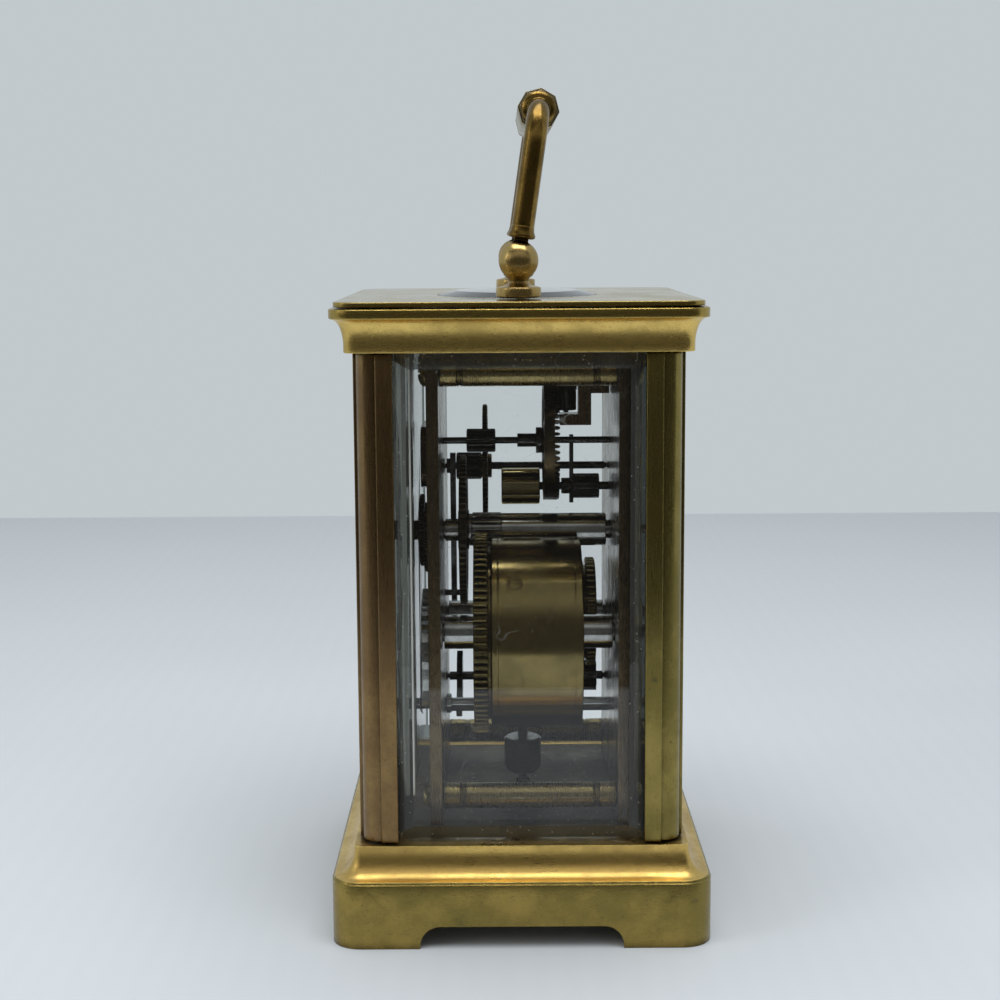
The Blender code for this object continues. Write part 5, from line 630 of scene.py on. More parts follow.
def block(low, high, radius=0, segments=8, along="Z", top_only=False):
    """A cube at its size and place; the edges along one axis are rounded."""
    middle = [(a + b) / 2 for a, b in zip(low, high)]
    piece = fresh(bpy.ops.mesh.primitive_cube_add, size=MM, location=millimetres(*middle),
                  scale=[b - a for a, b in zip(low, high)])
    if radius:
        axis = "XYZ".index(along)

        def chosen(edge):
            a, b = (v.co for v in edge.verts)
            runs = abs((a - b)[axis]) > 0.9 * (high[axis] - low[axis]) * MM
            return runs and (not top_only or min(a.z, b.z) > middle[2] * MM)
        begin(piece, "EDGE")
        pick("edges", chosen)
        bpy.ops.mesh.bevel(offset=radius * MM, segments=segments, affect="EDGES")
        end()
    return piece


KEY_END = 23.95


def key_square(at, half, start, broken):
    """The square end of an arbor, where a key fits."""
    x, z = at
    return soften(block((x - half, start, z - half), (x + half, KEY_END, z + half)), broken)


def quarter(count):
    """Angles from 0 to a quarter turn, in equal steps."""
    return [QUARTER_TURN * i / count for i in range(count + 1)]


def step_face(steps, facing):
    """Insets the picked face by (inward, outward) steps; a step straight up is an extrusion."""
    for inward, rise in steps:
        if inward:
            inset(inward, rise)
        else:
            lift(facing * rise)


def moulding(piece, facing, first_steps, reach, height, count, last_steps):
    """Works the upper or lower face of a block into steps, a hollow sweep and steps again."""
    begin(piece)
    pick("faces", lambda f: f.normal.z * facing > 0.99)
    step_face(first_steps, facing)
    sweep = [(reach * math.sin(a), height * (1 - math.cos(a))) for a in quarter(count)]
    step_face([(b[0] - a[0], b[1] - a[1]) for a, b in zip(sweep, sweep[1:])], facing)
    step_face(last_steps, facing)
    end()


# %% Turning on the lathe
def lathe(profile, centre, along="Y", steps=64):
    """Draws a profile of (radius, distance) points by extrusion and spins it round its axis.

    A centre of two numbers is a place across the axis, as seen along it.
    """
    if len(centre) == 2:
        centre = (*centre, 0) if along == "Z" else (centre[0], 0, centre[1])

    def at(radius, distance):
        offset = {"X": (distance, 0, radius), "Y": (radius, distance, 0), "Z": (radius, 0, distance)}[along]
        return Vector(millimetres(*(c + o for c, o in zip(centre, offset))))
    points = [at(*row) for row in profile]
    piece = fresh(bpy.ops.mesh.primitive_plane_add, size=MM, location=points[0])
    begin(piece, "VERT")
    select("SELECT")
    bpy.ops.mesh.merge(type="CENTER")
    for first, second in zip(points, points[1:]):
        bpy.ops.mesh.extrude_region_move(TRANSFORM_OT_translate={"value": second - first})
    select("SELECT")
    turning = [int(along == letter) for letter in "XYZ"]
    bpy.ops.mesh.spin(steps=steps, angle=math.tau, center=millimetres(*centre), axis=turning)
    return weld()


def collar(radius, start, stop, broken=0.15):
    """The profile of a disc whose two rims are slightly broken."""
    return [(0, start), (radius - broken, start), (radius, start + broken), (radius, stop - broken),
            (radius - broken, stop), (0, stop)]


# %% [markdown]
# ## The base
# The base is a cast frame: a plinth on four feet, a small step, and a hollow sweep up to the
# pillars. A block with rounded corners is inset step by step along the section, which is how the
# real moulding was milled, and the arches and the hollow are then cut out of it.

# %% Blocks round the clock's axis
HALF_WIDTH, HALF_DEPTH = 36.5, 29.2


def slab(margin, low, high, *rounding):
    """A block centred on the clock's axis, wider than the case by the margin on every side."""
    x, y = HALF_WIDTH + margin, HALF_DEPTH + margin
    return block((-x, -y, low), (x, y, high), *rounding)


# %% Model the base
SWEEP_FOOT = 12
BEYOND, FEET_X, FEET_Y, ARCH_TOP = 50, 25.5, 18.2, 4.1
base = slab(4.9, 0, 11.75, 5.4, 12)
moulding(base, 1, [(0.20, 0.05), (0.25, 0.40), (0.14, 0.05)], 3.45, 5, 14, [(0, 0.40), (0.05, 0.05)])
hollow = slab(2.4, -1, 10.5, 3, 6)
opening = slab(-9.8, 10, 20, 0.6, 3)
rebate = slab(-7.3, 16.1, 20, 0.4, 2)
arches = [block((-x, -y, -5), (x, y, ARCH_TOP), 3.6, 10, along, True)
          for x, y, along in ((BEYOND, FEET_Y, "X"), (FEET_X, BEYOND, "Y"))]
cut_away(base, [hollow, opening, rebate] + arches)
soften(base, 0.12, 2, 50)
base = complete("base", [base], base_brass, ["base_moulding"])
# Above its foot the sweep takes the brighter brass, a painted highlight.
refinish(base, sweep_brass_painted_bright, lambda f: f.center.z > SWEEP_FOOT * MM)

# %% [markdown]
# ## The cornice and the top plate
# The cornice is the base's moulding upside down: a flat lip, a hollow sweep and a plain foot that
# sits on the pillars. The thin plate above it is screwed down from below and carries the handle.

# %% Model the cornice
LIP_FOOT = 111.9
cornice = slab(3.8, 112, 113.6, 4.8, 12)
moulding(cornice, -1, [(0.12, 0.08), (0.30, 0.12)], 2.08, 4.60, 12, [(0, 1.2)])
well = slab(-4.9, 107.5, 120, 0.6, 3)
mouth = slab(-7.3, 100, 108, 0.4, 2)
cut_away(cornice, [well, mouth])
soften(cornice, 0.14, 2, 50)
cornice = complete("cornice_moulding", [cornice], cornice_brass, ["cornice"])
refinish(cornice, lip_brass, lambda f: f.center.z > LIP_FOOT * MM)


# %% Model the top plate and its oval glass
TOP_FACE = 114.8


def oval_block(width, depth, low, high):
    """An oval slab with its axis upright."""
    return rod(96, 0.5, high - low, (0, 0, (low + high) / 2), scale=(width, depth, 1))


top = slab(3, 113.9, TOP_FACE, 4.3, 12)
cut_away(top, [oval_block(41, 30.4, 109, 119)])
soften(top, 0.16, 3, 50)
top = complete("top_sheet", [top], plate_brass_with_painted_reflection, ["top_plate"])
refinish(top, lip_brass, lambda f: abs(f.normal.z) < 0.8)

# An extrusion of no height gives the underside an edge loop of its own.
oval = oval_block(40.6, 30, 112.3, TOP_FACE)
begin(oval)
pick("faces", lambda f: f.normal.z > 0.99)
inset(3.3, 0.8)
pick("faces", lambda f: f.normal.z < -0.99, True)
lift(0)
end()
complete("oval_glass", [oval], pane_glass, ["top_glass"], smooth=12)

# %% [markdown]
# ## The corner pillars
# Each pillar is a round column let into the corner, with a flat strip on either side of it. It is
# put together from three bars and the turned column, and the grooves for the panes are milled in.

# %% Model the pillars
FOOT, HEAD = 18, 105.7


def pillar(name, side_x, side_y, finish):
    """A corner pillar; inside it, (u, v) are measured inward from the case's corner."""
    def spot(u, v):
        return side_x * (HALF_WIDTH - u), side_y * (HALF_DEPTH - v)

    def bar(u0, v0, u1, v1):
        """A bar of full height between two such corners."""
        (xa, ya), (xb, yb) = spot(u0, v0), spot(u1, v1)
        return block((min(xa, xb), min(ya, yb), FOOT), (max(xa, xb), max(ya, yb), HEAD))
    strips = [bar(0, 4.1, 3, 7.1), bar(4.1, 0, 7.1, 3), bar(2.9, 2.9, 7.1, 7.1)]
    column = lathe(collar(3.1, FOOT, HEAD), spot(3.7, 3.7), "Z", 48)
    for strip in strips:
        soften(strip, 0.15)
    grooves = [bar(1.2, 5.1, 4, 8)] + ([bar(5.1, 1.2, 8, 4)] if side_y < 0 else [])
    for part in strips + [column]:
        cut_away(part, [duplicate(g) for g in grooves])
    for groove in grooves:
        bpy.data.objects.remove(groove)
    complete(name + "_post", strips + [column], finish, [name], smooth=30)


for row, side_y, finish in (("front", -1, front_pillar_brass), ("rear", 1, rear_pillar_brass)):
    for hand_side, side_x in (("right", 1), ("left", -1)):
        pillar(f"pillar_{row}_{hand_side}", side_x, side_y, finish)

# %% [markdown]
# ## The panes
# Every pane is thick plate glass whose outer face slopes away to a thinner edge, and the edge sits
# in the grooves of the pillars. The slope bends the view so far that it shows the dark inside of
# the case, so its glass is tinted dark: painted shade for that view.

# %% Model the panes
EDGE_THICKNESS, BEVEL_WIDTH, BEVEL_RISE, END_NARROWING = 1.3, 4.5, 1.1, 1.8


def pane(name, low, high, facing, finish, node):
    """A plate of glass bevelled on its outer face; facing is "x", "X", "y" or "Y", capital for plus."""
    axis, sign = "xy".index(facing.lower()), 1 if facing.isupper() else -1
    start, stop = list(low), list(high)
    if sign > 0:
        stop[axis] = low[axis] + EDGE_THICKNESS
        face_at = stop[axis] + BEVEL_RISE - 0.05
    else:
        start[axis] = high[axis] - EDGE_THICKNESS
        face_at = start[axis] - BEVEL_RISE + 0.05
    plate = block(start, stop)
    begin(plate)
    pick("faces", lambda f: f.normal[axis] * sign > 0.9)
    inset(BEVEL_WIDTH, BEVEL_RISE)
    bpy.ops.mesh.select_mode(type="VERT")
    for side in (-1, 1):
        pick("verts", lambda v: (v.co[axis] - face_at * MM) * sign > 0
             and (v.co.z - (FOOT + HEAD) / 2 * MM) * side > 0, True)
        bpy.ops.transform.translate(value=millimetres(0, 0, END_NARROWING * side))
    end()
    piece = complete(name, [plate], finish, [node], smooth=5)
    # The sloping faces take the dark glass, which is painted shade.
    refinish(piece, bevel_glass_painted_dark, lambda f: 0.5 < f.normal[axis] * sign < 0.995)


pane("pane_right", (32.7, -23.9, FOOT), (35.1, 23.9, HEAD), "X", pane_glass, "right_glass")
pane("pane_left", (-35.1, -23.9, FOOT), (-32.7, 23.9, HEAD), "x", far_glass, "left_glass")
pane("pane_front", (-31.2, -27.8, FOOT), (31.2, -25.4, HEAD), "y", pane_glass, "front_glass")

# %% [markdown]
# ## The handle
# Two turned posts end in balls, and each ball is slotted for a flat tongue that swings on a pin.
# The arms are bent round bar with a small bead at the foot, and they end in ferrules that hold the
# eight-sided grip. The handle is modelled upright, then leant back about its pins as it stands.

# %% Model the posts
PIVOT_Z, PIVOT_X, GRIP_HEIGHT, BALL = 121.6, 28, 26.8, 3.64
LEAN = math.radians(-8.1)


def post(x, name, pin):
    """A post with its slotted ball, and the pin through the ball."""
    bearings = [math.radians(90 - 148 * i / 18) for i in range(1, 19)]
    ball = [(BALL * math.cos(a), PIVOT_Z + BALL * math.sin(a)) for a in bearings]
    foot = [(1.75, 117.95), (1.95, 117.55), (2.45, 117.25), (3.25, 117.05), (3.85, 116.95), (3.98, 116.8),
            (4, 116.5), (4, 115.35), (3.85, 115.2), (3.6, 115.1), (0, 115.1)]
    body = lathe([(0, 125.24)] + ball + foot, (x, 0), "Z", 64)
    cut_away(body, [block((x - 0.95, -6, 119.2), (x + 0.95, 6, 128))])
    soften(body, 0.10, 2, 60)
    complete(name.replace("handle_post", "post"), [body], post_brass, [name], smooth=40)
    rivet = lathe([(0, -3.58), (0.35, -3.60), (0.5, -3.5), (0.5, 3.5), (0.35, 3.60), (0, 3.58)],
                  (x, 0, PIVOT_Z), "X", 20)
    complete(pin.replace("handle_pin", "rivet"), [rivet], post_brass, [pin])


post(-PIVOT_X, "handle_post_left", "handle_pin_left")
post(PIVOT_X, "handle_post_right", "handle_pin_right")


# %% Model the arms
def bent_bar(points, radius, resolution=10):
    """A round bar along points: a curve with a round bevel, made a mesh."""
    path = bpy.data.curves.new("bar", "CURVE")
    path.dimensions = "3D"
    line = path.splines.new("POLY")
    line.points.add(len(points) - 1)
    for point, place in zip(line.points, points):
        point.co = (*millimetres(*place), 1)
    path.bevel_depth = radius * MM
    path.bevel_resolution = resolution
    path.use_fill_caps = True
    bar = bpy.data.objects.new("bar", path)
    bpy.context.scene.collection.objects.link(bar)
    only(bar)
    bpy.ops.object.convert(target="MESH")
    begin(bpy.context.object, "VERT")
    return weld()


def arm(side, name):
    """An arm with its bead, the tongue that swings in the ball, and the ferrule at the grip."""
    x = PIVOT_X * side
    bend = [(21.5 + 6.5 * math.cos(a), 0, 20.3 + 6.5 * math.sin(a)) for a in quarter(14)]
    path = [(28, 0, 4.2), (28, 0, 10), (28, 0, 15)] + bend + [(21, 0, GRIP_HEIGHT)]
    bar = bent_bar([(side * px, py, pz) for px, py, pz in path], 2)
    bead = lathe([(0, 3.85), (1.6, 3.85), (2.15, 3.95), (2.38, 4.2), (2.42, 4.45), (2.3, 4.75), (2.1, 5.2),
                  (2, 6), (0, 6)], (x, 0), "Z", 48)
    tongue = lathe(collar(2.1, -0.75, 0.75), (x, 0, 0), "X", 40)
    neck = block((x - 0.75, -1.25, 0), (x + 0.75, 1.25, 4.8))
    rows = [(0, 21.5), (2.75, 21.5), (3, 21.65), (3.05, 21.9), (3, 22.4), (2.6, 22.75), (2.1, 22.95),
            (0, 22.95)]
    ferrule = lathe([(r, side * d) for r, d in rows], (0, 0, GRIP_HEIGHT), "X", 48)
    parts = placed([bar, bead, tongue, neck, ferrule], (0, 0, PIVOT_Z), LEAN, "X")
    complete(name.replace("handle_arm", "arm"), parts, handle_brass, [name])


arm(-1, "handle_arm_left")
arm(1, "handle_arm_right")

# %% Model the grip
GRIP_CUTS = (20.9, 20, 19.6, 18.7, 18.3)
grip = rod(8, 3.37, 42.6, (0, 0, GRIP_HEIGHT), (0, QUARTER_TURN, 0))
begin(grip)
for place in [side * cut for side in (-1, 1) for cut in GRIP_CUTS]:
    select("SELECT")
    bpy.ops.mesh.bisect(plane_co=millimetres(place, 0, GRIP_HEIGHT), plane_no=(1, 0, 0))


def on_body(face):
    """True between the two pairs of grooves that the cuts mark out."""
    x = abs(face.calc_center_median().x) / MM
    return abs(face.normal.x) < 0.1 and (x < 18.3 or 18.7 < x < 19.6 or 20 < x < 20.9)


pick("faces", on_body, True)
draw_out(0.42)
end()
soften(grip, 0.12, 2, 30)
complete("grip", placed([grip], (0, 0, PIVOT_Z), LEAN, "X"), grip_brass, ["handle_grip"], smooth=25)

# %% [markdown]
# ## Wheels, pinions and arbors
# The train multiplies one slow turn of the barrel into the beat of the balance. The solids have
# coarse teeth in the right ratios; here the same ratios are cut with the fine teeth of a real
# clock. A disc's edge faces are picked tooth by tooth, drawn out and narrowed by an inset. The
# middle is opened by bridging, and the arms and the hub's collar are added.


# %% Cutting teeth
def bearing(start, finish):
    return math.atan2(finish[1] - start[1], finish[0] - start[0])


def toothed(teeth, root, tip, front, back, centre, phase, rim=0, narrowing=0.16):
    """A disc along Y with teeth drawn out of its edge; a rim width opens its middle."""
    x, z = centre
    wheel = rod(4 * teeth, root, back - front, (x, (front + back) / 2, z), (QUARTER_TURN, -phase, 0))

    def is_tooth(face):
        middle = face.calc_center_median()
        angle = math.atan2(middle.z - z * MM, middle.x - x * MM)
        return abs(face.normal.y) < 0.5 and math.cos(teeth * (angle - phase)) > 0
    begin(wheel)
    pick("faces", is_tooth)
    height = tip - root
    draw_out(0.55 * height)
    inset(narrowing * (math.tau * tip / teeth), 0.45 * height)
    if rim:
        pick("faces", lambda f: abs(f.normal.y) > 0.99 and len(f.verts) > 2 * teeth, True)
        inset(rim)
        bpy.ops.mesh.bridge_edge_loops()
    return end()


def crossings(inner, outer, front, back, centre, count, width, phase=0, hub=(2, 0.4)):
    """The arms between a rim and its hub, and the hub's collar; hub is its radius and how proud it is."""
    x, z = centre
    middle = (front + back) / 2
    parts = []
    for k in range(count):
        spoke = fresh(bpy.ops.mesh.primitive_cube_add, size=MM,
                      location=millimetres((inner + outer) / 2, 0, 0), scale=(outer - inner, back - front,
                                                                              width))
        soften(taper(spoke, -1, 1.5), 0.06, 1)
        parts += placed([spoke], (x, middle, z), -phase - math.tau * k / count)
    reach = (back - front) / 2 + hub[1]
    return parts + [lathe(collar(hub[0], -reach, reach), (x, middle, z), "Y", 40)]


def gear_sizes(wheel_at, wheel_teeth, pinion_at, pinion_teeth):
    """Pitch radii, module and phases of a wheel and pinion that run together."""
    module = 2 * math.dist(wheel_at, pinion_at) / (wheel_teeth + pinion_teeth)
    return {"module": module, "wheel": module * wheel_teeth / 2, "pinion": module * pinion_teeth / 2,
            "wheel_phase": bearing(wheel_at, pinion_at),
            "pinion_phase": bearing(pinion_at, wheel_at) + math.pi / pinion_teeth}


def wheel_teeth(sizes, teeth, front, back, centre, rim=0):
    m, r = sizes["module"], sizes["wheel"]
    return toothed(teeth, r - 1.15 * m, r + 0.9 * m, front, back, centre, sizes["wheel_phase"], rim)


def pinion_leaves(sizes, teeth, front, back, centre):
    m, r = sizes["module"], sizes["pinion"]
    return toothed(teeth, r - 1.25 * m, r + 0.8 * m, front, back, centre, sizes["pinion_phase"],
                   narrowing=0.13)


def arbor(steps, centre, turns=40):
    """A steel arbor from (radius, start, end) steps, every shoulder slightly broken."""
    rows = []
    for radius, start, finish in steps:
        rows += collar(radius, start, finish, min(0.08, radius * 0.2))[1:-1]
    rows = [(0, steps[0][1])] + rows + [(0, steps[-1][2])]
    return lathe(rows, centre, "Y", turns)


CENTRE, BARREL, THIRD, CONTRATE = (0, 69.2), (12.6, 51.6), (-12.4, 80.2), (0, 86.7)
ALARM_BARREL, ALARM_ESCAPE, MINUTE_WHEEL = (-18.5, 49), (-18.5, 35.5), (8.4, 69.2)
HAMMER, RELEASE, ALARM_SET = (-9, 31.3), (-9, 76.5), (0, 34.5)
FRONT_FACE, FRONT_SEAT, REAR_SEAT, REAR_FACE = -16.65, -14.15, 17.55, 20.05
great = gear_sizes(BARREL, 84, CENTRE, 14)
centre = gear_sizes(CENTRE, 72, THIRD, 12)
third = gear_sizes(THIRD, 72, CONTRATE, 12)
cannon = gear_sizes(MINUTE_WHEEL, 36, CENTRE, 12)
hour = gear_sizes(CENTRE, 40, MINUTE_WHEEL, 10)
alarm = gear_sizes(ALARM_BARREL, 48, ALARM_ESCAPE, 12)
print("great wheel radius", round(great["wheel"], 2), "module", round(great["module"], 3))

# %% [markdown]
# ## The going barrel
# The mainspring lies coiled in this drum. Its great wheel has 84 teeth. A rivet in the wall holds
# the spring's outer end, the cap is sprung into a groove, and fine rings from the lathe show on
# the wall.

# %% Model the going barrel
drum = lathe([(3.35, -6.6), (16.3, -6.6), (16.5, -6.4), (16.5, -5.3), (17.7, -5.3), (17.96, -5.05),
              (17.96, -4.1), (17.86, -4), (17.96, -3.9), (17.96, 10), (17.88, 10.1), (17.96, 10.2),
              (17.96, 11.3), (17.78, 11.5), (16.7, 11.5), (16.6, 11.15), (8, 11.1), (7.6, 10.9),
              (3.35, 10.9), (3.35, -6.6)], BARREL, "Y", 128)
great_teeth = wheel_teeth(great, 84, -8.5, -5.9, BARREL, 12)
rivet = lathe([(0, 17.2), (1.35, 17.2), (1.35, 17.98), (1.25, 18.1), (1.1, 18.08), (1.05, 17.98),
               (0.95, 18.12), (0, 18.22)], (0, 0), "Z", 32)
slot = block((-0.15, -0.9, 18.02), (0.15, 0.9, 18.4))
placed([rivet, slot], (BARREL[0], -0.9, BARREL[1]), math.radians(49))
cut_away(rivet, [slot])
complete("mainspring_barrel", [drum, great_teeth, rivet], drum_brass, ["going_barrel"])

shaft = arbor([(1.8, -18, FRONT_SEAT), (3.2, FRONT_SEAT, REAR_SEAT), (1.8, REAR_SEAT, 20.35)], BARREL)
complete("mainspring_arbor", [shaft, key_square(BARREL, 1.1, 20.2, 0.18)], steel, ["barrel_arbor"])

# %% [markdown]
# ## The centre, third and contrate arbors
# The centre arbor turns once an hour: a thick pipe with leaves at the front. The third and contrate
# arbors are thin, with their leaves and small seats turned up from the solid.

# %% Model the centre arbor and wheel
pipe = lathe([(1.25, REAR_FACE), (1.8, REAR_FACE), (1.8, 17), (3.05, 17), (3.2, 16.85), (3.2, -3.2),
              (2.7, -3.3), (2.7, -9), (3.1, -9), (3.2, -9.1), (3.2, -9.6), (3.1, -9.7), (2.2, -9.7),
              (2.2, FRONT_SEAT), (1.8, FRONT_SEAT), (1.8, FRONT_FACE), (1.25, FRONT_FACE),
              (1.25, REAR_FACE)], CENTRE, "Y", 64)
leaves = pinion_leaves(great, 14, -9, -3.2, CENTRE)
complete("centre_pipe", [pipe, leaves], steel, ["centre_arbor"])
teeth = wheel_teeth(centre, 72, -11.3, -9.9, CENTRE, 1.9)
web = crossings(3.4, centre["wheel"] - 2.2, -11.3, -9.9, CENTRE, count=4, width=1.4, phase=0.4,
                hub=(3.9, 0.35))
complete("centre_disc", [teeth] + web, wheel_brass, ["centre_wheel"])

# %% Model the third arbor and wheel
shaft = arbor([(0.5, -17.8, FRONT_SEAT), (1.5, FRONT_SEAT, -12.95), (0.75, -12.95, REAR_SEAT),
               (0.5, REAR_SEAT, REAR_FACE)], THIRD)
leaves = pinion_leaves(centre, 12, -12.2, -7.1, THIRD)
complete("third_shaft", [shaft, leaves], dark_steel, ["third_arbor"])
teeth = wheel_teeth(third, 72, -6.9, -5.9, THIRD, 1.7)
web = crossings(1.6, third["wheel"] - 2, -6.9, -5.9, THIRD, count=4, width=1.2, phase=0.2,
                hub=(2.4, 0.8))
complete("third_disc", [teeth] + web, wheel_brass, ["third_wheel"])

# %% [markdown]
# ## The contrate wheel
# This wheel turns the drive through a right angle: its sixty teeth stand on its face like a crown,
# and they drive the upright escape arbor under the platform. The teeth are drawn out of a ring that
# an inset leaves on the disc's face, so they and the wheel are one piece of brass.

# %% Model the contrate arbor and wheel
shaft = arbor([(0.65, -17.8, -9.9), (0.62, -9.9, -4.3), (0.65, -4.3, -0.1), (1.3, -0.1, 3.5),
               (2.5, 3.5, 4.6), (1.3, 4.6, 6), (0.65, 6, REAR_FACE)], CONTRATE)
leaves = pinion_leaves(third, 12, -9.9, -4.3, CONTRATE)
complete("contrate_shaft", [shaft, leaves], dark_steel, ["contrate_arbor"])

CROWN_TEETH, CROWN_WIDTH = 60, 1.1
crown = rod(4 * CROWN_TEETH, 11.6, 2, (0, 5.9, CONTRATE[1]), (QUARTER_TURN, 0, 0))
begin(crown)
pick("faces", lambda f: f.normal.y > 0.99)
inset(CROWN_WIDTH)


def on_crown(face):
    """True for the ring's faces that a tooth stands on."""
    middle = face.calc_center_median()
    angle = math.atan2(middle.z - CONTRATE[1] * MM, middle.x) - math.pi / 2
    return face.normal.y > 0.99 and len(face.verts) < 5 and math.cos(CROWN_TEETH * angle) > 0


pick("faces", on_crown, True)
draw_out(0.5)
inset(0.17, 0.45)
pick("faces", lambda f: f.normal.y < -0.99, True)
inset(CROWN_WIDTH)
pick("faces", lambda f: f.normal.y > 0.99 and len(f.verts) > 100)
bpy.ops.mesh.bridge_edge_loops()
end()
web = crossings(1.9, 10.9, 4.9, 5.7, CONTRATE, count=4, width=1.2, phase=0.5, hub=(2.6, 0.3))
complete("contrate_crown", [crown] + web, wheel_brass, ["contrate_wheel"])

# %% [markdown]
# ## The movement's pillars and screws
# Four turned brass pillars hold the plates apart. A pair of fine rings runs round each end, and a
# domed screw with a slot holds the plate on. The slots are cut out with a bar, as a saw cuts them.


# %% Model the pillars of the movement
def dome_screw(place, facing, radius=2.35, rise=1.5):
    """A domed screw head with a slot; facing is the way its head looks along Y."""
    dome = [(0, 1), (0.45, 0.93), (0.78, 0.72), (0.97, 0.4), (1, 0.22), (1, 0), (0, 0)]
    head = lathe([(radius * r, facing * rise * d) for r, d in dome], place, "Y", 36)
    near, far = sorted((facing * (rise - 0.45), facing * (rise + 1)))
    notch = block((-radius * 1.3, near, -0.22), (radius * 1.3, far, 0.22))
    turn = math.radians(40 * math.sin(place[0] * 3.1 + place[2] * 1.7))  # no two slots stand alike
    return cut_away(head, placed([notch], place, turn))


def ring_pair(place):
    """The part of a pillar's profile with two fine raised rings."""
    half = [(2.36, 0.62), (2.2, 0.5), (2.47, 0.36), (2.2, 0.1)]
    return [(r, place - d) for r, d in half] + [(r, place + d) for r, d in reversed(half)]


for row, z in (("top", 101.4), ("bottom", 22.7)):
    for hand_side, x in (("left", -22.5), ("right", 22.5)):
        rows = [(0, -14.35), (2.3, -14.35), (2.4, -14.2)] + ring_pair(-10.65) + ring_pair(14.05)
        rows += [(2.4, 17.6), (2.3, 17.75), (0, 17.75)]
        parts = [lathe(rows, (x, z), "Y", 48), dome_screw((x, -16.7, z), -1), dome_screw((x, 20.1, z), 1)]
        complete(f"spacer_{row}_{hand_side}", parts, pillar_rod_brass,
                 [f"movement_pillar_{row}_{hand_side}"])

# %% [markdown]
# ## The alarm work
# The alarm has its own small barrel, whose wheel drives a saw-toothed wheel. Its teeth rock the
# hammer, which strikes the bell in the hollow base. A ribbed drum and a thin blade let it off. The
# hammer's stalk is a bent rod, which a curve with a round bevel gives at once.

# %% Model the alarm barrel and its arbors
drum = lathe([(2.55, 14.8), (9.7, 14.8), (9.7, 13.4), (10.5, 13.4), (10.7, 13.2), (10.7, 12.4),
              (10.6, 12.3), (10.7, 12.2), (10.7, -2), (10.62, -2.1), (10.7, -2.2), (10.7, -2.8),
              (10.5, -3), (9.6, -3), (9.5, -2.7), (2.55, -2.7), (2.55, 14.8)], ALARM_BARREL, "Y", 96)
teeth = wheel_teeth(alarm, 48, 13.8, 15.8, ALARM_BARREL, 7)
complete("alarm_drum", [drum, teeth], drum_brass, ["alarm_barrel"])
shaft = arbor([(1.5, FRONT_FACE, FRONT_SEAT), (2.4, FRONT_SEAT, REAR_SEAT), (1.5, REAR_SEAT, 20.35)],
              ALARM_BARREL)
complete("alarm_shaft", [shaft, key_square(ALARM_BARREL, 1.05, 20.2, 0.15)], steel, ["alarm_arbor"])

# %% Model the hammer
HEAD_FOOT = 19.8
shaft = arbor([(0.8, FRONT_FACE, REAR_FACE)], HAMMER, 24)
rows = [(0, 7.2), (3.3, 7.2), (3.65, 6.85), (3.65, 2), (3.5, 1.2), (3.1, 0.55), (2.5, 0.12), (1.8, 0),
        (0.8, 0), (0.8, -11), (0.6, -11.2), (0, -11.2)]
head = lathe([(r, HEAD_FOOT + d) for r, d in rows], (-2.5, 0.75), "Z", 56)
stalk = bent_bar([(HAMMER[0], 0.75, HAMMER[1]), (-6.6, 0.75, 30.3), (-4.4, 0.75, 28.4),
                  (-2.5, 0.75, 26.3)], 1, 5)
hubs = [lathe(collar(1.9, *ends), HAMMER, "Y", 32) for ends in ((-0.9, 2.4), (-12.6, -11.4))]
reach = math.dist(HAMMER, ALARM_ESCAPE) - 5.5
pallet = placed([block((0, -0.6, -0.8), (reach, 0.6, 0.8), 0.5, 4, "Y")], (HAMMER[0], -12, HAMMER[1]),
                -bearing(HAMMER, ALARM_ESCAPE))
complete("hammer", [head, shaft, stalk] + hubs + pallet, dark_steel, ["alarm_hammer"])

# %% Model the release arbor
x, z = RELEASE
shaft = arbor([(0.8, -3, 8.7), (1.6, 8.7, 10.7), (0.8, 10.7, REAR_FACE)], RELEASE, 48)
ribs = toothed(18, 2.15, 2.45, 11, 16.2, RELEASE, 0, narrowing=0.10)
blade = block((x - 1, 10.3, z - 3.4), (x + 1, 11.1, z + 10.3), 0.9, 6, "Y")
complete("release_shaft", [shaft, ribs, blade], dark_steel, ["release_arbor"])
sleeve = lathe(collar(3.65, -3.2, 4.4), (x, z), "Y", 64)
complete("release_sleeve", [sleeve], sleeve_brass, ["release_arbor"], replaces=False)

# %% [markdown]
# ## The bell
# The bell is a shallow spun cup that hangs mouth down in the hollow base, on one screw. Two quarter
# turns of an ellipse give its outside and inside, and the lathe turns them into one closed wall.


# %% Model the bell
def quarter_ellipse(width, height, foot):
    """A quarter turn of an ellipse, from its foot almost to its top."""
    return [(width * math.cos(a), foot + height * math.sin(a)) for a in quarter(24)[:-1]]


outer, inner = quarter_ellipse(15.5, 8.3, 4.9), quarter_ellipse(14.6, 7.2, 5.2)
cup = [(15.5, 4.9)] + outer[1:] + [(1.3, 13.2), (1.3, 12.4)] + inner[-2::-1] + [(14.75, 4.9), (15.5, 4.9)]
complete("bell_cup", [lathe(cup, (-21, 0), "Z", 96)], bell_metal, ["bell"], smooth=50)

# %% [markdown]
# ## The platform escapement
# The escapement sits on its own platform under the oval glass, where it can be watched. The escape
# wheel beats on the balance staff, and the balance swings against a flat spiral spring. Wheels are
# made lying as in the train and then stood up by a quarter turn. The spring is a spiral of short
# steps, because a real one has too many turns to draw by hand.

# %% Model the escapement
STAFF = (0, 4.683)


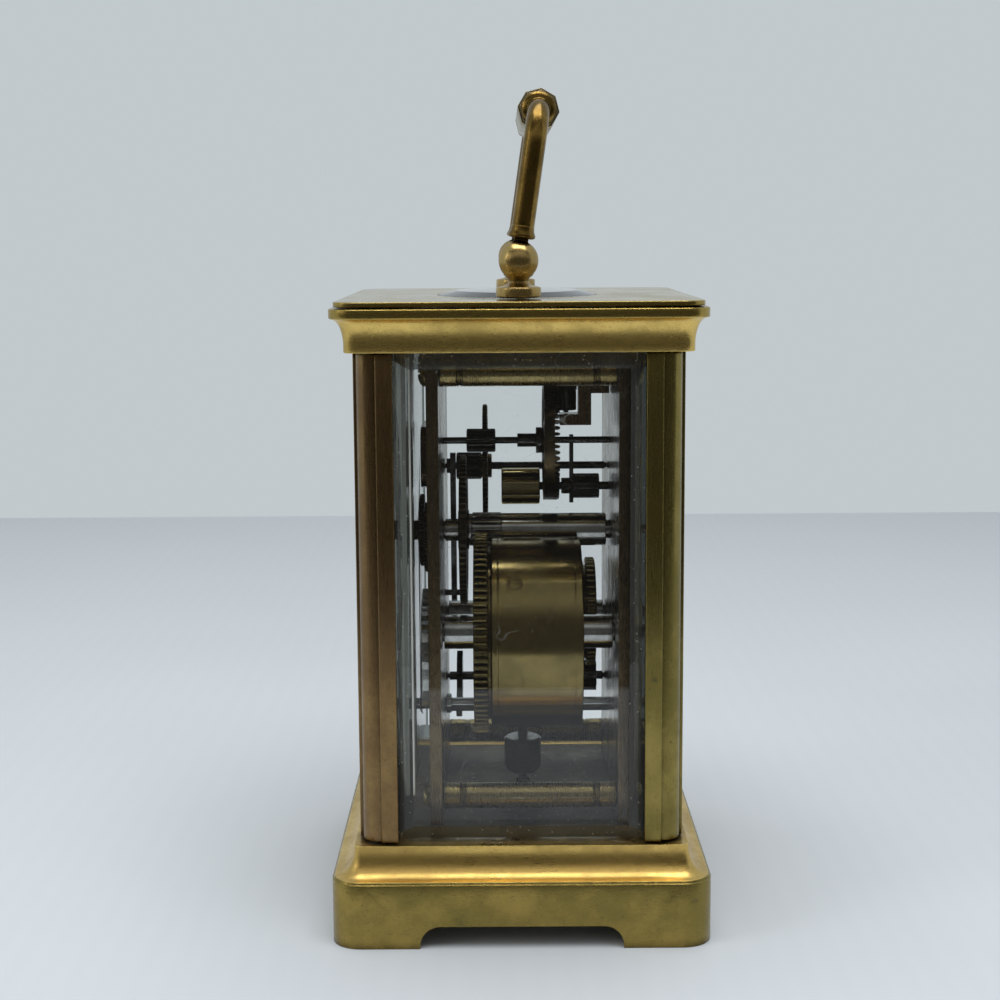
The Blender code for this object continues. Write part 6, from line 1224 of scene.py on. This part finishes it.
def top_screw(x, y, z, radius, rise):
    """A flat screw head with a slot, seen from above."""
    head = lathe([(0, z + rise), (radius * 0.85, z + rise), (radius, z + rise * 0.7), (radius, z), (0, z)],
                 (x, y), "Z", 28)
    notch = block((-radius * 1.4, -0.14, z + rise * 0.45), (radius * 1.4, 0.14, z + rise + 1))
    turn = x * 2.3 + y  # no two slots stand alike
    return cut_away(head, placed([notch], (x, y, 0), turn, "Z"))


escape = [arbor([(0.5, 92.05, 92.55), (2, 92.55, 96.25)], (0, 0), 40), arbor([(0.5, 99.2, 107.65)], (0, 0),
                                                                             24), toothed(10, 1.45, 2.1,
                                                                                          96.25, 99.2,
                                                                                          (0, 0), 0.31,
                                                                                          narrowing=0.13),
          toothed(15, 3.1, 4, 106.4, 106.9, (0, 0), 0.1, rim=0.55, narrowing=0.30)]
escape += crossings(0.7, 2.7, 106.4, 106.9, (0, 0), count=4, width=0.42, phase=0.2, hub=(0.9, 0.25))
complete("escape_set", placed(escape, (0, 9.333, 0), QUARTER_TURN, "X"), dark_steel, ["escape_wheel"])

rim = lathe([(6.4, 108.65), (7, 108.65), (7.1, 108.75), (7.1, 109.45), (7, 109.55), (6.4, 109.55),
             (6.3, 109.45), (6.3, 108.75), (6.4, 108.65)], STAFF, "Z", 96)
arms = crossings(0.8, 6.5, 108.8, 109.4, (0, 0), count=3, width=0.75, phase=QUARTER_TURN, hub=(1.3, 0.3))
placed(arms, (*STAFF, 0), QUARTER_TURN, "X")
weights = []
for k in range(12):
    weight = lathe([(0, 6.9), (0.42, 6.9), (0.46, 6.95), (0.46, 7.5), (0.40, 7.58), (0, 7.58)], (0, 0, 0),
                   "X", 16)
    weights += placed([weight], (*STAFF, 109.1), math.tau * (k + 0.5) / 12, "Z")
staff = lathe([(0, 106.25), (0.3, 106.3), (0.55, 106.6), (0.55, 108.2), (0.3, 109.9), (0.2, 110.54),
               (0, 110.54)], STAFF, "Z", 24)
complete("balance", [rim] + arms + weights + [staff], movement_brass, ["balance_wheel"])

TURNS, STEPS, SPRING_INSIDE, SPRING_WIDTH = 9, 270, 1.1, 3
spiral = []
for k in range(STEPS + 1):
    radius, angle = SPRING_INSIDE + SPRING_WIDTH * k / STEPS, math.tau * TURNS * k / STEPS
    spiral.append((STAFF[0] + radius * math.cos(angle), STAFF[1] + radius * math.sin(angle), 110))
complete("hairspring", [bent_bar(spiral, 0.055, 1)], blued_steel, ["balance_spring"])

# %% Model the cock, its jewel and the platform
foot = block((-2.6, -8.72, 106.4), (2.6, -4.9, 111.6), 0.5, 4)
bridge = block((-2.6, -8.72, 110.85), (2.6, 5.98, 111.65), 1.4, 8)
setting = lathe([(0, 111.6), (1.25, 111.6), (1.25, 111.75), (1.1, 111.8), (0.72, 111.8), (0.62, 111.7),
                 (0, 111.7)], STAFF, "Z", 40)
complete("cock", [soften(foot, 0.1), soften(bridge, 0.12), setting, top_screw(0, -6.8, 111.6, 1.15, 0.2)],
         movement_brass, ["balance_cock"])
ruby, tree, out = new_material("ruby")
give(out, Surface=add_node(tree, "BsdfPrincipled", {"Base Color": rgb(0.42, 0.012, 0.03), "Roughness": 0.06,
                                                    "Coat Weight": 0.5}).outputs[0])
stone = lathe([(0, 111.78), (0.3, 111.77), (0.5, 111.72), (0.55, 111.68), (0, 111.68)], STAFF, "Z", 28)
complete("jewel", [stone], ruby, ["balance_cock"], replaces=False)

deck = soften(block((-15, -15.85, 104.3), (15, 19.25, 106.1), 1.6, 6), 0.15)
corners = [top_screw(x, y, 106.1, 1.35, 0.55) for x in (-12.4, 12.4) for y in (-13.2, 16.6)]
complete("deck", [deck] + corners, plates_brass, ["platform"])

# %% [markdown]
# ## The motion work
# A small pinion on the setting arbor drives the minute wheel, and its own leaves drive the hour
# wheel, so the hour hand turns once for every twelve turns of the minute hand. All of it is made by
# the same functions for teeth and arbors as the train.

# %% Model the motion work
shaft = arbor([(1.1, -22.3, 20.3)], CENTRE, 32)
leaves = pinion_leaves(cannon, 12, -17.85, -16.95, CENTRE)
complete("set_shaft", [shaft, leaves, key_square(CENTRE, 0.78, 20.1, 0.12)], steel, ["setting_arbor"])
axle = arbor([(0.7, -19.05, -14.45)], MINUTE_WHEEL, 24)
complete("minute_gear", [wheel_teeth(cannon, 36, -17.85, -16.95, MINUTE_WHEEL), pinion_leaves(hour, 10,
                                                                                              -19.05,
                                                                                              -17.85,
                                                                                              MINUTE_WHEEL),
                         axle], wheel_brass, ["minute_wheel"])
pipe = lathe([(1.25, -18.6), (1.25, -21.7), (1.8, -21.7), (1.9, -21.6), (1.9, -18.6), (1.25, -18.6)],
             CENTRE, "Y", 40)
complete("hour_gear", [wheel_teeth(hour, 40, -19.05, -18.15, CENTRE, 4.4), pipe], wheel_brass,
         ["hour_wheel"])

# %% [markdown]
# ## The back plate
# The back plate is seen through the door. Its outer face is kept bright, its edges keep the dark
# brown of the other plates, and every pivot runs in an oil sink turned into it. The solid's own holes
# are right, so a copy of it is merged and shaded flat, and only the rings round the sinks are modelled.

# %% Model the back plate
back = duplicate(bpy.data.objects["back_plate"])
begin(back, "VERT")
plate = complete("rear_plate", [weld()], plates_brass, ["back_plate"], smooth=5)
refinish(plate, back_brass, lambda f: f.normal.y > 0.9)
SINK = [(0, REAR_FACE), (0.12, 20.08), (0.75, 20.30), (0.95, 20.32), (1.1, 20.22), (1.15, REAR_FACE),
        (0, REAR_FACE)]
sinks = [lathe([(hole + r, d) for r, d in SINK], (x, z), "Y", 40) for (x, z), hole in (
    (CENTRE, 2), (BARREL, 2.1), (ALARM_BARREL, 1.7), (THIRD, 0.55), (CONTRATE, 0.7), (ALARM_ESCAPE, 0.55),
    (HAMMER, 0.85), (RELEASE, 0.85), (ALARM_SET, 1.3))]
complete("oil_sinks", sinks, back_brass, ["back_plate"], replaces=False)

# %% [markdown]
# ## The dial
# The dial is a white enamel plate with Roman hours, a minute track and a small dial below for the
# alarm. Each numeral is put together from its strokes, thick and thin, and set round the ring.

# %% Model the dial
dial = block((-26, -20.3, 23.5), (26, -19.5, 103.5), 0.8, 4, "Y")
cut_away(dial, [rod(48, radius, 4, (0, -19.9, z), (QUARTER_TURN, 0, 0))
                for radius, z in ((2.2, CENTRE[1]), (1.4, ALARM_SET[1]))])
complete("enamel_plate", [soften(dial, 0.12)], enamel, ["dial"])

# %% The black of the numerals
ink, tree, out = new_material("fired_black")
wear = ramp(noise(object_place(tree), 1500, 3, 0.6, 51), 0.30, 0.60)
colour = mix_colours(wear, rgb(0.055, 0.05, 0.045), rgb(0.012, 0.011, 0.010))
give(out, Surface=add_node(tree, "BsdfPrincipled", {"Base Color": colour, "Roughness": 0.25,
                                                    "Coat Weight": 0.4}).outputs[0])
INK_BACK, INK_FRONT = -20.295, -20.33
INK_MIDDLE, INK_THICKNESS = (INK_BACK + INK_FRONT) / 2, INK_BACK - INK_FRONT


# %% Strokes, letters and rings
def stroke(x0, z0, x1, z1, width):
    """One flat pen stroke from (x0, z0) to (x1, z1), its ends cut level."""
    line = fresh(bpy.ops.mesh.primitive_cube_add, size=MM, scale=(width, INK_THICKNESS, abs(z1 - z0)),
                 location=millimetres((x0 + x1) / 2, INK_MIDDLE, (z0 + z1) / 2))
    if x0 != x1:
        begin(line, "VERT")
        pick("verts", lambda v: (v.co.z - (z0 + z1) / 2 * MM) * (z1 - z0) > 0)
        bpy.ops.transform.translate(value=millimetres((x1 - x0) / 2, 0, 0))
        select("INVERT")
        bpy.ops.transform.translate(value=millimetres((x0 - x1) / 2, 0, 0))
        end()
    return line


def letter(kind, x, height):
    """The strokes of I, V or X standing on z = 0 with their left edge at x, and the letter's width."""
    thick, thin, serif = 0.78, 0.26, 0.16

    def foot(at, width):
        return stroke(x + at, 0.001, x + at, serif, width)

    def head(at, width):
        return stroke(x + at, height - serif, x + at, height - 0.001, width)
    if kind == "I":
        return [stroke(x + 0.75, 0, x + 0.75, height, thick), foot(0.75, 1.45), head(0.75, 1.45)], 1.62
    if kind == "V":
        return [stroke(x + 0.75, height, x + 1.75, 0, thick), stroke(x + 2.85, height, x + 1.80, 0, thin),
                head(0.75, 1.45), head(2.75, 1)], 3.35
    return [stroke(x + 0.75, height, x + 2.65, 0, thick), stroke(x + 2.65, height, x + 0.75, 0, thin),
            head(0.75, 1.4), foot(2.65, 1.4), foot(0.75, 1), head(2.65, 1)], 3.45


def set_round(parts, radius, turn, centre):
    """Moves parts that stand on z = 0 out to the radius and round the dial; turn is clockwise."""
    return placed(placed(parts, (0, 0, radius)), (centre[0], 0, centre[1]), turn)


def ring(radius, width, centre, steps=160):
    near, far = radius - width / 2, radius + width / 2
    return lathe([(near, INK_BACK), (far, INK_BACK), (far, INK_FRONT), (near, INK_FRONT), (near, INK_BACK)],
                 centre, "Y", steps)


def track(count, every, radius, height, wide, fine, centre):
    """A ring of ticks, with a wide one after every few fine ones."""
    ticks = []
    for k in range(count):
        width = fine if k % every else wide
        ticks += set_round([stroke(0, 0, 0, height, width)], radius, math.tau * k / count, centre)
    return ticks


# %% Set out the dial
marks = [ring(23.9, 0.14, CENTRE), ring(22.9, 0.14, CENTRE)]
for number, roman in enumerate(("XII", "I", "II", "III", "IIII", "V", "VI", "VII", "VIII", "IX", "X",
                                "XI")):
    strokes, x = [], 0
    for kind in roman:
        made_strokes, width = letter(kind, x, 4.7)
        strokes += made_strokes
        x += width
    placed(strokes, (0.05 - x / 2, 0, 0))
    marks += set_round(strokes, 17.5, math.tau * number / 12, CENTRE)
marks += track(60, 5, 22.9, 1, 0.42, 0.13, CENTRE)
marks += [ring(8.3, 0.12, ALARM_SET, 96), ring(7.6, 0.12, ALARM_SET, 96)]
marks += track(48, 4, 7.6, 0.7, 0.30, 0.10, ALARM_SET)
for number in range(1, 13):
    bpy.ops.object.select_all(action="DESELECT")
    bpy.ops.object.text_add(rotation=(QUARTER_TURN, 0, 0))
    figure = bpy.context.object
    figure.data.body = str(number)
    figure.data.size = 2.1 * MM
    figure.data.align_x = "CENTER"
    figure.data.extrude = INK_THICKNESS / 2 * MM
    figure.data.resolution_u = 4
    figure.location = millimetres(0, INK_MIDDLE, -0.7)
    bpy.ops.object.convert(target="MESH")
    marks += set_round([bpy.context.object], 6.3, math.tau * number / 12, ALARM_SET)
complete("dial_marks", marks, ink, ["dial"], smooth=20, replaces=False)

# %% [markdown]
# ## The hands
# The hands are blued steel: a boss, a slim tapered stem, a pierced moon and a fine tip. One function
# makes all three, because they differ only in their sizes. Each hand is made lying to the right and
# then turned to its hour, and its edges are filed by a small bevel.


# %% Model the hands
def hand(length, moon, back, front, boss, at, turn):
    """Parts of one flat hand lying at (x, z), turned from straight right towards straight up."""
    def disc(x, outer, hole):
        rows = [(hole, back), (outer - 0.05, back), (outer, back - 0.05), (outer, front + 0.05),
                (outer - 0.05, front), (hole, front), (hole, back)]
        return lathe(rows, (x, 0), "Y", 40)

    def stem(x0, x1, wide, narrow):
        bar = block((x0, front, -wide / 2), (x1, back, wide / 2))
        return soften(taper(bar, 1, narrow / wide), 0.04, 1)
    middle = length * 0.68
    parts = [disc(0, boss, 0.9 if boss > 1.5 else 0.4), stem(boss - 0.2, middle - moon + 0.15, 0.95, 0.5),
             disc(middle, moon, moon * 0.55), stem(middle + moon - 0.15, length, 0.62, 0.12)]
    return placed(parts, (at[0], 0, at[1]), -math.radians(turn))


complete("long_hand", hand(19, 1.25, -22.3, -22.7, boss=1.7, at=CENTRE, turn=30), blued_steel,
         ["minute_hand"])
complete("short_hand", hand(12.5, 1.45, -21.1, -21.5, boss=2.3, at=CENTRE, turn=145), blued_steel,
         ["hour_hand"])
shaft = arbor([(1.1, -21.6, -14.3), (1.9, -14.3, -13.3), (1.1, -13.3, 20.3)], ALARM_SET, 32)
complete("alarm_set_shaft", [shaft, key_square(ALARM_SET, 0.78, 20.1, 0.12)], steel,
         ["alarm_setting_arbor"])
complete("alarm_pointer", hand(6.8, 0.7, -21.1, -21.5, boss=1.5, at=ALARM_SET, turn=-60), blued_steel,
         ["alarm_setting_arbor"], replaces=False)

# %% [markdown]
# ## The door's knob
# The back door is pulled open by a small turned knob. A sphere on a cylinder would look cast, so its
# whole section is drawn as a turner would cut it.

# %% Model the knob
knob = lathe([(0, 29.2), (1.3, 29.2), (1.3, 29.9), (1.05, 30.15), (1.05, 30.5), (1.5, 30.8), (1.95, 31.2),
              (2.1, 31.6), (2, 32), (1.6, 32.4), (0.9, 32.58), (0, 32.6)], (-27, 0, 61.85), "Y", 40)
complete("pull", [knob], door_brass, ["door_knob"])

# %% [markdown]
# ## The table, the light and the room
# The clock stands in a plain room, so only what its brass and glass mirror is built. A pale table
# ends behind it, with a pale grey-blue wall beyond it. One broad lamp hangs overhead and a weaker
# one fills from the side, as in a small studio. A dark card stands before the camera, where only
# reflections see it: it keeps the near glass clear and the pillars deep.

# %% The table
bpy.ops.mesh.primitive_plane_add(size=0.932, location=(0, 0, 0))
table = bpy.context.object
table.name = "table"
made, tree, out = new_material("table_white")
place = object_place(tree)
mottle = noise(place, 9, 3, 0.5, 41)
ridged = add_node(tree, "TexWave", {"Vector": place, "Scale": 55, "Distortion": 0.4, "Detail": 1},
                  bands_direction="Y")
shade = mix_colours(mottle, rgb(0.60, 0.645, 0.69), rgb(0.66, 0.70, 0.735))
shade = mix_colours(times(ridged.outputs["Fac"], 0.05), shade, rgb(0.5, 0.54, 0.58))
give(out, Surface=add_node(tree, "BsdfPrincipled", {"Base Color": shade, "Roughness": 0.6}).outputs[0])
table.data.materials.append(made)


# %% The lamps
def lamp(name, place, aim, size, watts, colour=(1, 1, 1)):
    """A rectangular lamp at a place, turned towards its aim."""
    data = bpy.data.lights.new(name, "AREA")
    data.shape = "RECTANGLE"
    data.size, data.size_y = size
    data.energy = watts
    data.color = colour
    made = bpy.data.objects.new(name, data)
    bpy.context.scene.collection.objects.link(made)
    made.location = place
    made.rotation_euler = (Vector(aim) - Vector(place)).to_track_quat("-Z", "Y").to_euler()
    print(name, watts, "W")


lamp("top_lamp", (0.12, 0.05, 0.75), (0, 0, 0.05), (0.55, 0.75), 5)
lamp("side_lamp", (0.35, -0.65, 0.40), (0, 0, 0.06), (0.3, 0.3), 1.2, (1, 0.98, 0.94))

# %% The dark card before the camera
# The card is dark up to the clock's height, lighter in a band above it, and dark again higher up.
# It shows only to rays that were mirrored before, so that no view through glass meets it.
bpy.ops.mesh.primitive_plane_add(size=1, location=(0.215, 0, 0.40), rotation=(0, math.pi / 2, 0))
card = bpy.context.object
card.name = "dark_card"
card.scale = (0.80, 1.2, 1)
card.visible_camera = card.visible_shadow = card.visible_diffuse = False
made, tree, out = new_material("card_black")
position = add_node(tree, "NewGeometry").outputs["Position"]
height = add_node(tree, "SeparateXYZ", {0: position}).outputs["Z"]
shade = mix_colours(ramp(height, 0.15, 0.25), rgb(0.08, 0.08, 0.075), rgb(0.32, 0.325, 0.32))
shade = mix_colours(ramp(height, 0.28, 0.42), shade, rgb(0.09, 0.09, 0.085))
glow = add_node(tree, "Emission", {"Color": shade, "Strength": 1})
mirrored = maths("GREATER_THAN", add_node(tree, "LightPath").outputs["Glossy Depth"], 0.5)
give(out, Surface=mix_shaders(mirrored, add_node(tree, "BsdfTransparent"), glow).outputs[0])
card.data.materials.append(made)

# %% The room
world = bpy.data.worlds.new("room")
bpy.context.scene.world = world
world.use_nodes = True
tree = world.node_tree
tree.nodes.clear()
path = add_node(tree, "LightPath").outputs
seen = maths("MAXIMUM", maths("MAXIMUM", path["Is Camera Ray"], path["Is Glossy Ray"]),
             path["Is Transmission Ray"])
wall = add_node(tree, "Background", {"Color": rgb(0.535, 0.585, 0.61), "Strength": 1})
fill = add_node(tree, "Background", {"Color": rgb(0.50, 0.52, 0.54), "Strength": 0.62})
give(tree.nodes.new("ShaderNodeOutputWorld").inputs, Surface=mix_shaders(seen, fill, wall).outputs[0])
print("room:", world.name)
